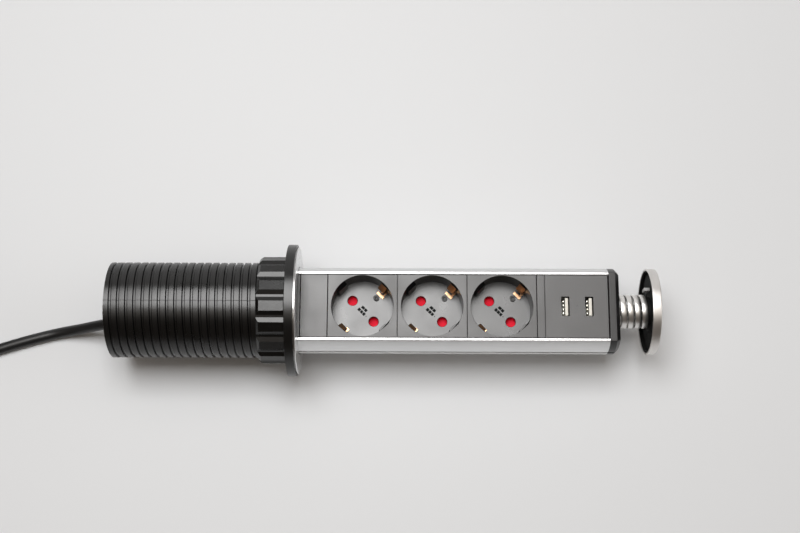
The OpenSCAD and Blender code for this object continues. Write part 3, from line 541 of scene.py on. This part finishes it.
def dress(node, name, body, finish, slot, width, segments=2, angle=30):
    return settle(fromCad(node, name, width, segments, angle), body, finish, slot, node)


# sleeve: turned body with a true right hand thread, cut off square at the barrel's end
sleeveSettings = {
    "bore": 27.4, "root": 28.8, "crest": 30, "length": 111, "pitch": 5, "crestWidth": 3.2, "footWidth": 4.4,
    "threadFrom": -114.7, "threadTurns": 21, "threadSteps": 72, "runOut": 40, "sink": 0.4,
    "crestRound": [(-0.08, 0.22), (0.06, 0.05), (0.25, 0)],
    "flange": 41.5, "flangeHeight": 5.4, "seat": (0.5, 35.95), "trimGroove": (3.8, 36.7, 37.9),
    "brakeSeat": (1.6, 30.15), "keys": (6, 174), "keyWidth": 1.4, "keyFrom": -50, "keyTo": -10,
    "keyReach": (25.7, 28.1),
}


def makeThread(look):
    half, foot, top = look["crestWidth"] / 2, look["footWidth"] / 2, look["crest"]
    low = look["root"] - look["sink"]
    x = look["threadFrom"]
    section = [(x - foot, low), *((x - half + a, top - b) for a, b in look["crestRound"]),
               *((x + half - a, top - b) for a, b in reversed(look["crestRound"])), (x + foot, low)]
    ridge = drawLine("threadRidge", [(along, 0, radius) for along, radius in section])
    onlySpots(ridge, (0, len(section) - 1))
    bpy.ops.mesh.edge_face_add()           # closes the section at its foot
    bpy.ops.object.mode_set(mode="OBJECT")
    applied(ridge, "SCREW", axis="X", screw_offset=look["pitch"] * mm, iterations=look["threadTurns"],
            steps=look["threadSteps"], render_steps=look["threadSteps"], use_merge_vertices=False,
            use_normal_calculate=True)
    return closed(ridge, 12)


def makeSleeve():
    look = sleeveSettings
    bore, root, rim, height, end = look["bore"], look["root"], look["flange"], look["flangeHeight"], -look["length"]
    relief, seat = look["seat"]
    deep, inner, outer = look["trimGroove"]
    shelf, pocket = look["brakeSeat"]
    steps = [(end, bore + 0.3), (end, root - 0.4), (end + 0.4, root),
             (relief, root), (relief, seat), (0, seat), (0, rim - 0.3), (0.09, rim - 0.09), (0.3, rim),
             (height - 0.2, rim), (height - 0.06, rim - 0.06), (height, rim - 0.2), (height, outer),
             (deep, outer), (deep, inner), (height, inner), (height, pocket), (shelf, pocket),
             (shelf, bore), (end + 0.3, bore), (end, bore + 0.3)]
    sleeve = turned("sleeveBody", steps, 144)
    ridge = makeThread(look)
    # the ridge runs out into the barrel under the nut
    ring = 2 * len(look["crestRound"]) + 2
    rings = len(ridge.data.vertices) // ring
    fade = look["threadSteps"] * look["runOut"] / 360
    for k, spot in enumerate(ridge.data.vertices):
        share = (rings - 1 - k // ring) / fade
        if share < 1:
            reach = math.hypot(spot.co.y, spot.co.z)
            low = (look["root"] - look["sink"]) * mm
            scale = (low + (reach - low) * (0.02 + 0.98 * share)) / reach
            spot.co.y *= scale
            spot.co.z *= scale
    cut = end + 0.02
    carve(ridge, block("past", (cut - 20, -40, -40), (cut, 40, 40)))
    fuse(sleeve, ridge)
    low, high = look["keyReach"]
    for angle in look["keys"]:
        key = block("key", (look["keyFrom"], low, -look["keyWidth"] / 2), (look["keyTo"], high, look["keyWidth"] / 2))
        turnedBy(key, angle, (0, 0, 0), (1, 0, 0))
        fuse(sleeve, key)
    smooth(sleeve)
    settle(sleeve, "sleeve", "barrelPlastic", "black_plastic", "sleeve")


makeSleeve()
print("sleeve made")


# trim ring, brake ring, washer and nut
ringSettings = {
    "trim": [(5.4, 27.6), (5.4, 36.8), (3.9, 36.8), (3.9, 37.8), (5.4, 37.8), (5.4, 38.8), (5.85, 38.8),
             (5.85, 39.45), (5.9, 39.64), (6.03, 39.75), (6.2, 39.8), (6.42, 39.76), (6.59, 39.64), (6.68, 39.46),
             (6.7, 39.2), (6.7, 27.9), (6.62, 27.7), (6.4, 27.6), (5.4, 27.6)],
    "washer": [(-0.5, 30.5), (-0.5, 34.8), (-0.35, 34.95), (0.15, 34.95), (0.3, 34.8), (0.3, 30.5),
               (0.15, 30.35), (-0.35, 30.35), (-0.5, 30.5)],
    "brake": [(1.6, 27.3), (1.6, 29.9), (1.75, 30.05), (5.1, 30.05), (5.3, 29.85), (5.3, 27.35), (5.1, 27.15),
              (1.8, 27.15), (1.6, 27.3)],
    "nut": [(-17.6, 29), (-17.6, 32.63), (-16.2, 33.99), (-15.9, 34.14), (-0.9, 34.19), (-0.6, 33.89), (-0.6, 29),
            (-17.6, 29)],
    "nutBore": 30.35, "ribs": 16, "ribTurn": -4.75, "groove": [(32.2, 0.75), (34.7, 6.28)], "nutEdge": 0.25,
}


def makeNut():
    look = ringSettings
    nut = turned("clampNut", look["nut"], look["ribs"])
    (low, narrow), (high, wide) = look["groove"]
    cutters = []
    for k in range(look["ribs"]):          # the grooves cut the corners off and leave flat lands
        cutter = block("groove", (-20, -narrow, low), (1, narrow, high))
        for spot in cutter.data.vertices:
            if spot.co.z > (high - 0.01) * mm:
                spot.co.y *= wide / narrow
        cutters.append(turnedBy(cutter, k * 360 / look["ribs"], (0, 0, 0), (1, 0, 0)))
    carve(nut, joined("grooves", cutters))
    carve(nut, rod("bore", (-20, 0, 0), (2, 0, 0), look["nutBore"], 144))
    return soften(turnedBy(nut, look["ribTurn"], (0, 0, 0), (1, 0, 0)), look["nutEdge"], 3, 20)


def makeRings():
    look = ringSettings
    trim = smooth(turned("trimRing", look["trim"], 144), 40)
    settle(trim, "sleeve", "trimSteel", "trim_steel", "trim_ring")
    brake = smooth(turned("brakeRing", look["brake"], 144), 60)
    settle(brake, "sleeve", "brakeFelt", "felt", "brake_ring")
    washer = smooth(turned("clampWasher", look["washer"], 128), 40)
    settle(washer, "washer", "capPlastic", "black_plastic", "clamp_washer")
    settle(makeNut(), "nut", "nutPlastic", "black_plastic", "clamp_nut")


makeRings()
print("rings and nut made")


# extrusion and front panels
columnSettings = {"edge": 0.22, "panelEdge": 0.18}


def makeColumn():
    look = columnSettings
    dress("column_profile", "columnProfile", "column", "satinAluminium", "aluminium", look["edge"], 3)
    for node, name in (("lower_panel", "lowerPanel"), ("blank_panel", "blankPanel"), ("spacer_strip", "spacerStrip")):
        dress(node, name, "column", "panelPlastic", "grey_plastic", look["panelEdge"], 3)


makeColumn()
print("column made")


# sockets: modelled once and copied
socketSettings = {
    "at": 46.75, "module": 43.3, "length": 42.9, "face": 16, "base": -1.5, "under": -3.5, "recess": 19.3, "cup": 20.3,
    "panelHalf": 19.8, "slotHalf": 21.35, "slotLow": 13.1, "slotHigh": 14.6, "pin": 9.5, "pinHole": 3.1,
    "pinTurn": 135, "lugWidth": 7, "lugs": ((135, 17.3, -0.6, 4.5), (315, 18, 1, 0)), "notch": (18.4, 2.9, 0.75, 10),
    "rivetAt": 11.8, "rivetHole": 1.05, "rivetSeat": 2.15, "rivetDeep": 0.9, "edgeHalf": 21.62, "collar": -5.1,
    "collarRadius": 4, "gapHalf": 2.8, "gapHigh": 12.55, "mouthEdge": 0.22, "holeEdge": 0.3,
}


def socketX(i):
    return socketSettings["at"] + i * socketSettings["module"]


def makeSocket():
    look = socketSettings
    x, half, wide = look["at"], look["length"] / 2, look["edgeHalf"]
    base, face, under = look["base"], look["face"], look["under"]
    socket = block("socket", (x - half, -look["panelHalf"], look["slotLow"] + 0.4),
                   (x + half, look["panelHalf"], face))
    fuse(socket, block("edge", (x - wide, -look["slotHalf"], look["slotLow"]),
                       (x + wide, look["slotHalf"], look["slotHigh"])))
    fuse(socket, rod("cup", (x, 0, under), (x, 0, look["slotLow"] + 0.2), look["cup"], 128))
    recess = rod("recess", (x, 0, base), (x, 0, face + 4), look["recess"], 128)
    turns = (look["pinTurn"], look["pinTurn"] + 180)
    for turn, reach, rise, slope in look["lugs"]:  # the recess leaves the two guide lugs standing
        inner, top = x + reach, face + rise
        lug = block("lug", (inner, -look["lugWidth"] / 2, base - 1),
                    (x + look["recess"] + 0.6, look["lugWidth"] / 2, top))
        for spot in lug.data.vertices:     # its end slopes down to the middle of the socket
            if spot.co.x < (inner + 0.01) * mm and spot.co.z > (top - 0.01) * mm:
                spot.co.z -= slope * mm
        carve(recess, turnedBy(soften(lug, 0.4, 3), turn, (x, 0, 0)))
    carve(socket, recess)
    away, side, wide, low = look["notch"]
    carve(socket, turnedBy(rod("notch", (x + away, side, low), (x + away, side, face + 1), wide, 24),
                           look["lugs"][1][0], (x, 0, 0)))
    pinX = x + look["pin"]
    for turn in turns:
        collar = rod("collar", (pinX, 0, look["collar"]), (pinX, 0, under + 0.5), look["collarRadius"], 48)
        fuse(socket, turnedBy(collar, turn, (x, 0, 0)))
        pin = rod("pin", (pinX, 0, look["collar"] - 1), (pinX, 0, base + 1), look["pinHole"], 48)
        carve(socket, turnedBy(pin, turn, (x, 0, 0)))
        gap = block("gap", (x + look["recess"] - 0.4, -look["gapHalf"], under - 1),
                    (x + look["cup"] + 1, look["gapHalf"], look["gapHigh"]))
        carve(socket, turnedBy(gap, turn - 90, (x, 0, 0)))
    away = x + look["rivetAt"]
    hole = rod("rivet", (away, 0, under - 1), (away, 0, base + 1), look["rivetHole"], 32)
    fuse(hole, rod("seat", (away, 0, base - look["rivetDeep"]), (away, 0, base + 1), look["rivetSeat"], 48))
    carve(socket, turnedBy(hole, look["pinTurn"] - 90, (x, 0, 0)))
    angle = math.radians(look["pinTurn"])
    pinSpots = [Vector((x + s * look["pin"] * math.cos(angle), s * look["pin"] * math.sin(angle))) for s in (1, -1)]

    def mouth(a, b):                       # the edge of the mouth and the outline of the face
        return abs(a.z - face) < 0.01 and abs(b.z - face) < 0.01

    def onRim(p, spot):
        return abs((p.xy - spot).length - look["pinHole"]) < 0.05 and abs(p.z - base) < 0.01

    def holeRim(a, b):
        return any(onRim(a, spot) and onRim(b, spot) for spot in pinSpots)

    softenWhere(socket, look["mouthEdge"], 3, mouth)
    softenWhere(socket, look["holeEdge"], 3, holeRim)
    return smooth(socket, 30)


def placeSockets():
    look = socketSettings
    first = makeSocket()
    for i in range(3):
        piece = moved(first, f"socketBody{i + 1}", (i * look["module"], 0, 0))
        settle(piece, "column", "socketPlastic", "grey_plastic", f"socket_body_{i + 1}")
        piece.data.materials.append(materials["panelPlastic"])
        piece.data.materials.append(materials["paintedShadeWall"])
        for side in piece.data.polygons:   # the face is as matt as the panels; faces above the base that don't point up, the recess wall and lug sides, get a darker, less glossy finish: painted shade
            if side.center.z > (look["face"] - 0.25) * mm:
                side.material_index = 1
            elif side.center.z > (look["base"] + 0.3) * mm and side.normal.z < 0.7:
                side.material_index = 2
    bpy.data.objects.remove(first)


placeSockets()
print("sockets made")


# earth clips: one bent strip each
clipSettings = {
    "line": [(-19.3, 11.75), (-15.72, 7.25), (-19.6, 2.5), (-19.6, -3.9), (19.6, -3.9), (19.6, 2.5), (15.72, 7.25),
             (19.3, 11.75)],
    "width": 5, "sheet": 0.8, "bend": 1.3, "turn": 45,
    "feet": [[(14.1, 16, -3.2, 2.4), (15.6, 19.4, -2.8, -1.5)],
             [(-16.9, -14.4, -2.6, -0.2), (-19.4, -16.5, -2.4, -1.2)]],
    "footLow": -1.48, "footSheet": 0.55, "edge": 0.12,
}


def makeClip():
    look = clipSettings
    x = socketSettings["at"]
    clip = drawLine("earthClip", [(x + u, -look["width"] / 2, z) for u, z in look["line"]])
    onlySpots(clip, range(1, len(look["line"]) - 1))
    bpy.ops.mesh.bevel(offset=look["bend"] * mm, segments=5, affect="VERTICES")
    bpy.ops.mesh.select_all(action="SELECT")
    bpy.ops.mesh.extrude_edges_move(TRANSFORM_OT_translate={"value": (0, look["width"] * mm, 0)})
    bpy.ops.object.mode_set(mode="OBJECT")
    applied(clip, "SOLIDIFY", thickness=look["sheet"] * mm, offset=0, use_even_offset=True)
    soften(clip, look["edge"], 2, 40)
    low, high = look["footLow"], look["footLow"] + look["footSheet"]
    feet = []
    for plan in look["feet"]:              # each end stands on a small plate with one leg back to the wall
        plate, leg = (block("foot", (x + a, c, low), (x + b, d, high)) for a, b, c, d in plan)
        feet.append(soften(fuse(plate, leg), look["edge"], 3))
    return turnedBy(joined("earthClip", [clip, *feet]), look["turn"], (x, 0, 0))


def placeClips():
    first = makeClip()
    for i in range(3):
        piece = moved(first, f"earthClip{i + 1}", (i * socketSettings["module"], 0, 0))
        settle(piece, "column", "clipBronze", "bronze", f"earth_clip_{i + 1}")
    bpy.data.objects.remove(first)


placeClips()
print("clips made")


# rivets, shutters and the plain bars printed on each socket
rivetSettings = {
    "steps": [(-5.0, 0), (-5.0, 1.5), (-4.3, 1.7), (-4.3, 1), (-2.38, 1), (-2.38, 1.7), (-1.55, 1.7), (-1.38, 1.62),
              (-1.3, 1.4), (-1.34, 0.95), (-1.45, 0.8), (-2.0, 0.62), (-2.05, 0)],
}
shutterSettings = {"top": -5.2, "dish": 3.45, "dishDeep": 1.75, "dishRound": 0.6}
barSettings = {
    "bars": [(1.6, -2.7, -0.5, 1.8), (1.6, -0.15, 1.7, 1.8), (-0.95, -3.4, -1.6, 1.9), (-0.95, -1.25, 0.5, 1.9),
             (-0.95, 0.85, 2.5, 1.9), (-0.95, 3.3, 4.0, 0.45)],
    "proud": 0.03, "turn": -45,
}


def placeRivets():
    pieces = []
    away = math.radians(socketSettings["pinTurn"] - 90)
    for i in range(3):
        x = socketX(i) + socketSettings["rivetAt"] * math.cos(away)
        y = socketSettings["rivetAt"] * math.sin(away)
        pieces.append(smooth(turned("rivet", rivetSettings["steps"], 48, (x, y, 0), "Z"), 50))
    settle(joined("earthRivets", pieces), "column", "rivetGrey", "steel", "earth_rivets")


def placeShutters():
    look = shutterSettings
    turn = math.radians(socketSettings["pinTurn"])
    for i in range(1, 4):
        shutter = fromCad(f"shutter_{i}", f"shutter{i}", 0.3, 3)
        x = socketX(i - 1)
        for reach in (socketSettings["pin"], -socketSettings["pin"]):
            place = (x + reach * math.cos(turn), reach * math.sin(turn), look["top"] + 2)
            floor = (place[0], place[1], look["top"] - look["dishDeep"])
            carve(shutter, soften(rod("dish", floor, place, look["dish"], 48), look["dishRound"], 4))
        settle(smooth(shutter, 40), f"shutter_{i}", "shutterRed", "red_plastic", f"shutter_{i}")


def placeBars():
    look = barSettings
    base = socketSettings["base"]
    pieces = []
    for i in range(3):
        x = socketX(i)
        for v, start, end, tall in look["bars"]:
            bar = block("bar", (x + start, v - tall / 2, base - 0.02), (x + end, v + tall / 2, base + look["proud"]))
            pieces.append(turnedBy(bar, look["turn"], (x, 0, 0)))
    settle(joined("ratingBars", pieces), "column", "printBlack", "black_plastic")


placeRivets()
placeShutters()
placeBars()
print("socket fittings made")


# charging ports
usbSettings = {
    "panel": (160.2, 199.2), "past": 0.17, "half": 19.8, "under": 13.5, "face": 16, "edgeHalf": 21.35,
    "edgeLow": 13.1, "edgeHigh": 14.6, "posts": ((167, -12), (167, 12), (187.3, -12), (187.3, 12)),
    "postLow": 0.5, "postHigh": 13.3, "postRadius": 2, "dimple": 180, "dimpleLow": 15.6, "dimpleRadius": 0.6,
    "ports": (172.6, 187.4), "slot": (5.2, 12.4), "tongue": (0, 1.9, 5.55), "top": 14.6, "low": 0.8,
    "fingers": (-3.75, -1.25, 1.25, 3.75), "fingerWidth": 0.9, "fingerSheet": 0.2,
    "finger": [(0.02, 3), (0.06, 9), (1.0, 12.3), (1.3, 12.9), (0.75, 13.05)],
}


def makeUsbPanel():
    look = usbSettings
    (low, high), half, face, edge = look["panel"], look["half"], look["face"], look["edgeHalf"]
    panel = block("usbPanel", (low, -half, look["under"]), (high, half, face))
    fuse(panel, block("edge", (low - look["past"], -edge, look["edgeLow"]), (high, edge, look["edgeHigh"])))
    for x, y in look["posts"]:
        fuse(panel, rod("post", (x, y, look["postLow"]), (x, y, look["postHigh"]), look["postRadius"], 32))
    softenWhere(panel, 0.18, 3, lambda a, b: abs(a.z - face) < 0.01 and abs(b.z - face) < 0.01)
    wide, tall = look["slot"]
    for x in look["ports"]:
        slot = block("slot", (x - wide / 2, -tall / 2, face - 4), (x + wide / 2, tall / 2, face + 2))
        softenWhere(slot, 0.35, 3, lambda a, b: (a - b).normalized().z ** 2 > 0.9)
        carve(panel, slot)
    carve(panel, rod("dimple", (look["dimple"], 0, look["dimpleLow"]), (look["dimple"], 0, face + 2),
                     look["dimpleRadius"], 32))
    settle(smooth(panel, 30), "column", "panelPlastic", "grey_plastic", "usb_panel")


def placeUsb():
    look = usbSettings
    tongues, contacts = [], []
    (left, right, half), width = look["tongue"], look["fingerWidth"]
    for x in look["ports"]:
        tongue = block("tongue", (x + left, -half, look["low"]), (x + right, half, look["top"]))
        tongues.append(soften(tongue, 0.25, 3))
        for y in look["fingers"]:
            finger = drawLine("finger", [(x + left - away, y - width / 2, z) for away, z in look["finger"]])
            bpy.ops.mesh.extrude_edges_move(TRANSFORM_OT_translate={"value": (0, width * mm, 0)})
            bpy.ops.object.mode_set(mode="OBJECT")
            applied(finger, "SOLIDIFY", thickness=look["fingerSheet"] * mm, offset=0)
            contacts.append(soften(finger, 0.06, 2))
    settle(joined("usbTongues", tongues), "column", "tongueCream", "cream_plastic", "usb_tongues")
    settle(joined("usbContacts", contacts), "column", "contactTin", "bronze")


makeUsbPanel()
placeUsb()
print("charging ports made")


# head cap, lid and spring
lidSettings = {
    "cover": [(225, 26), (225, 26.75), (225.08, 26.92), (225.3, 27), (229.7, 27), (230.1, 26.9), (230.4, 26.62),
              (230.55, 26.3), (230.6, 25.9), (230.6, 0), (229.6, 0), (229.6, 26), (225, 26)],
    "insert": [(224, 1.55), (224, 8.8), (224.4, 9.2), (227.2, 9.2), (227.2, 12), (226.9, 12.3), (226.9, 13),
               (227.2, 13.3), (227.2, 24.9), (227.05, 25.1), (225.55, 25.1), (225.4, 25.25), (225.4, 25.9),
               (229.6, 25.9), (229.6, 0), (228.1, 0), (228.1, 1.55), (224, 1.55)],
    "springFrom": 205.345, "springTo": 225.355, "springPitch": 4.4, "springOut": 10.75, "springIn": 9.55,
    "strip": 3.65, "crown": 0.4, "inside": 0.97, "springSteps": 72, "press": 3.2, "seat": 203.5, "end": 227.2,
}


def makeSpring():
    look = lidSettings
    half, outer, inner = look["strip"] / 2, look["springOut"], look["springIn"]
    x = look["springFrom"]
    section = [(x - half * look["inside"], inner)]
    for k in range(13):                    # a strip with a low crown
        angle = math.radians(180 - 15 * k)
        section.append((x + half * math.cos(angle), outer - look["crown"] * (1 - math.sin(angle))))
    section += [(x + half * look["inside"], inner), section[0]]
    turns = (look["springTo"] - look["springFrom"]) / look["springPitch"]
    steps = int(look["springSteps"] * turns)
    spring = drawLine("lidSpring", [(along, 0, radius) for along, radius in section])
    bpy.ops.mesh.remove_doubles(threshold=0.001 * mm)
    bpy.ops.object.mode_set(mode="OBJECT")
    applied(spring, "SCREW", axis="X", angle=2 * math.pi * turns, screw_offset=look["springPitch"] * turns * mm,
            iterations=1, steps=steps, render_steps=steps, use_merge_vertices=False, use_normal_calculate=True)
    smooth(closed(spring, 20), 40)
    settle(spring, "column", "springSteel", "spring_steel", "lid_spring")
    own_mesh(spring)


def makeEnds():
    look = lidSettings
    dress("head_cap", "headCap", "column", "capPlastic", "black_plastic", 0.35, 3, 35)
    dress("foot_cap", "footCap", "column", "capPlastic", "black_plastic", 0.3, 3, 35)
    settle(smooth(turned("lidCover", look["cover"], 144), 40), "lid", "lidSteel", "trim_steel", "lid_cover")
    settle(smooth(turned("lidInsert", look["insert"], 144), 40), "lid", "insertBlack", "black_plastic", "lid_insert")
    dress("lid_stem", "lidStem", "lid", "nickelPlate", "steel", 0.2)
    dress("stem_clip", "stemClip", "lid", "nickelPlate", "steel", 0.1)
    dress("lid_latch", "lidLatch", "lid", "catchGrey", "catch_plastic", 0.25, 3)


makeSpring()
makeEnds()
print("lid, spring and caps made")


# cord boot and plug
bootSettings = {
    "tip": [(-82, 0), (-82, 4.1), (-81.6, 4.35)],
    "base": [(-65.4, 6.05), (-65.05, 5.7), (-65.05, 4.1), (-57, 4.1), (-57, 6.2), (-54, 6.2), (-54, 0)],
    "ribs": 5, "from": -80.5, "to": -66.5, "thin": 4.4, "thicker": 1.6, "taper": (-82, 17), "groove": 0.7,
    "centre": (0, -3, -14),
}


def makeBoot():
    look = bootSettings
    steps = list(look["tip"])
    run = (look["to"] - look["from"]) / look["ribs"]
    start, length = look["taper"]
    for k in range(look["ribs"]):          # rings moulded into the taper
        x = look["from"] + k * run
        reach = look["thin"] + look["thicker"] * (x - start) / length
        low = reach - look["groove"]
        steps += [(x, reach), (x + run * 0.12, low), (x + run * 0.4, low), (x + run * 0.52, reach + 0.08)]
    steps += look["base"]
    boot = smooth(turned("cableBoot", steps, 64, look["centre"]), 35)
    settle(boot, "column", "cordRubber", "cord_rubber", "cable_boot")


def placePlug():
    return [dress("plug_body", "plugBody", "column", "cordRubber", "cord_rubber", 0.4, 3, 35),
            dress("plug_pins", "plugPins", "column", "nickelPlate", "steel", 0.25, 3, 20),
            dress("plug_earth_strips", "plugEarthStrips", "column", "nickelPlate", "steel", 0.2)]


makeBoot()
settle(mainsCord, "column", "cordRubber", "cord_rubber", "cord_lead", "cord_coil", "cord_tail")
placePlug()
print("boot and plug made")


# inner CAD nodes keep their shape and get their finish
innerFinishes = {
    "contact_block_1": "blockPlastic", "contact_block_2": "blockPlastic", "contact_block_3": "blockPlastic",
    "block_screws": "nickelPlate", "live_bar": "barBrass", "neutral_bar": "barBrass", "earth_bar": "barBrass",
    "live_wire": "coreBrown", "neutral_wire": "coreBlue", "earth_wire": "coreGreen", "usb_shells": "shellTin",
    "usb_board": "boardGreen", "usb_converter": "coilTape", "head_cap_screws": "nickelPlate",
    "foot_cap_screws": "nickelPlate",
}
for node, finish in innerFinishes.items():
    for place in cadNodes[node].material_slots:
        place.material = materials[finish]
print("inner nodes painted")


# bench and studio light
studioSettings = {
    "floor": -41.5, "floorSize": 7, "floorColour": (0.722, 0.74, 0.76), "floorRough": 0.55,
    "lamps": {
        "softbox": {"place": (-0.15, 0.29, 1.5), "aim": (-0.15, 0.29, 0.0), "size": (0.85, 0.78), "power": 17.2,
                    "tint": (1.0, 1.0, 1.0)},
        "ceiling": {"place": (0.0, 0.2, 2.3), "aim": (0.0, 0.2, 0.0), "size": (3.2, 2.6), "power": 14,
                    "tint": (1.0, 0.9, 0.8)},
        "sideBox": {"place": (1.6, 0.1, 0.9), "aim": (0.1, 0.0, 0.0), "size": (1.2, 1.2), "power": 6},
        "glossBand": {"place": (-0.125, 0.98, 1.5), "aim": (-0.125, 0.98, 0.0), "size": (0.85, 0.6), "power": 12,
                      "glossOnly": True},
        "backPanel": {"place": (0.0, 1.9, 0.55), "aim": (0.0, 0.0, 0.4), "size": (4.0, 1.3), "power": 11,
                      "glossOnly": True},
    },
    "world": (0.1, 0.084, 0.07, 1), "backdrop": (0.4, 0.4, 0.4, 1),
}


def addSoftbox(name, look):
    bpy.ops.object.select_all(action="DESELECT")
    bpy.ops.object.light_add(type="AREA", location=look["place"])
    lamp = bpy.context.object
    lamp.name = name
    lamp.data.shape = "RECTANGLE"
    lamp.data.size, lamp.data.size_y = look["size"]
    lamp.data.energy = look["power"]
    lamp.data.color = look.get("tint", (1, 1, 1))
    lamp.visible_camera = False
    lamp.visible_diffuse = not look.get("glossOnly", False)
    lamp.rotation_euler = (Vector(look["aim"]) - Vector(look["place"])).to_track_quat("-Z", "Y").to_euler()


def makeStudio():
    look = studioSettings
    bpy.ops.object.select_all(action="DESELECT")
    bpy.ops.mesh.primitive_plane_add(size=look["floorSize"], location=(0, 0, look["floor"] * mm))
    floor = named("bench")
    material = bpy.data.materials.new("benchTop")
    material.use_nodes = True
    shader = material.node_tree.nodes["Principled BSDF"]
    shader.inputs["Base Color"].default_value = (*look["floorColour"], 1)
    shader.inputs["Roughness"].default_value = look["floorRough"]
    floor.data.materials.append(material)
    for name, lamp in look["lamps"].items():
        addSoftbox(name, lamp)
    world = bpy.data.worlds.new("studio")
    world.use_nodes = True
    tree = world.node_tree
    seen = addNode(tree, "ShaderNodeLightPath").outputs["Is Camera Ray"]
    colour = addNode(tree, "ShaderNodeMix", {0: seen, 6: look["world"], 7: look["backdrop"]}, data_type="RGBA")
    tree.links.new(colour.outputs[2], tree.nodes["Background"].inputs["Color"])
    tree.nodes["Background"].inputs["Strength"].default_value = 1
    bpy.context.scene.world = world
    bpy.context.scene.view_settings.view_transform = "Standard"


makeStudio()
print("studio lit")
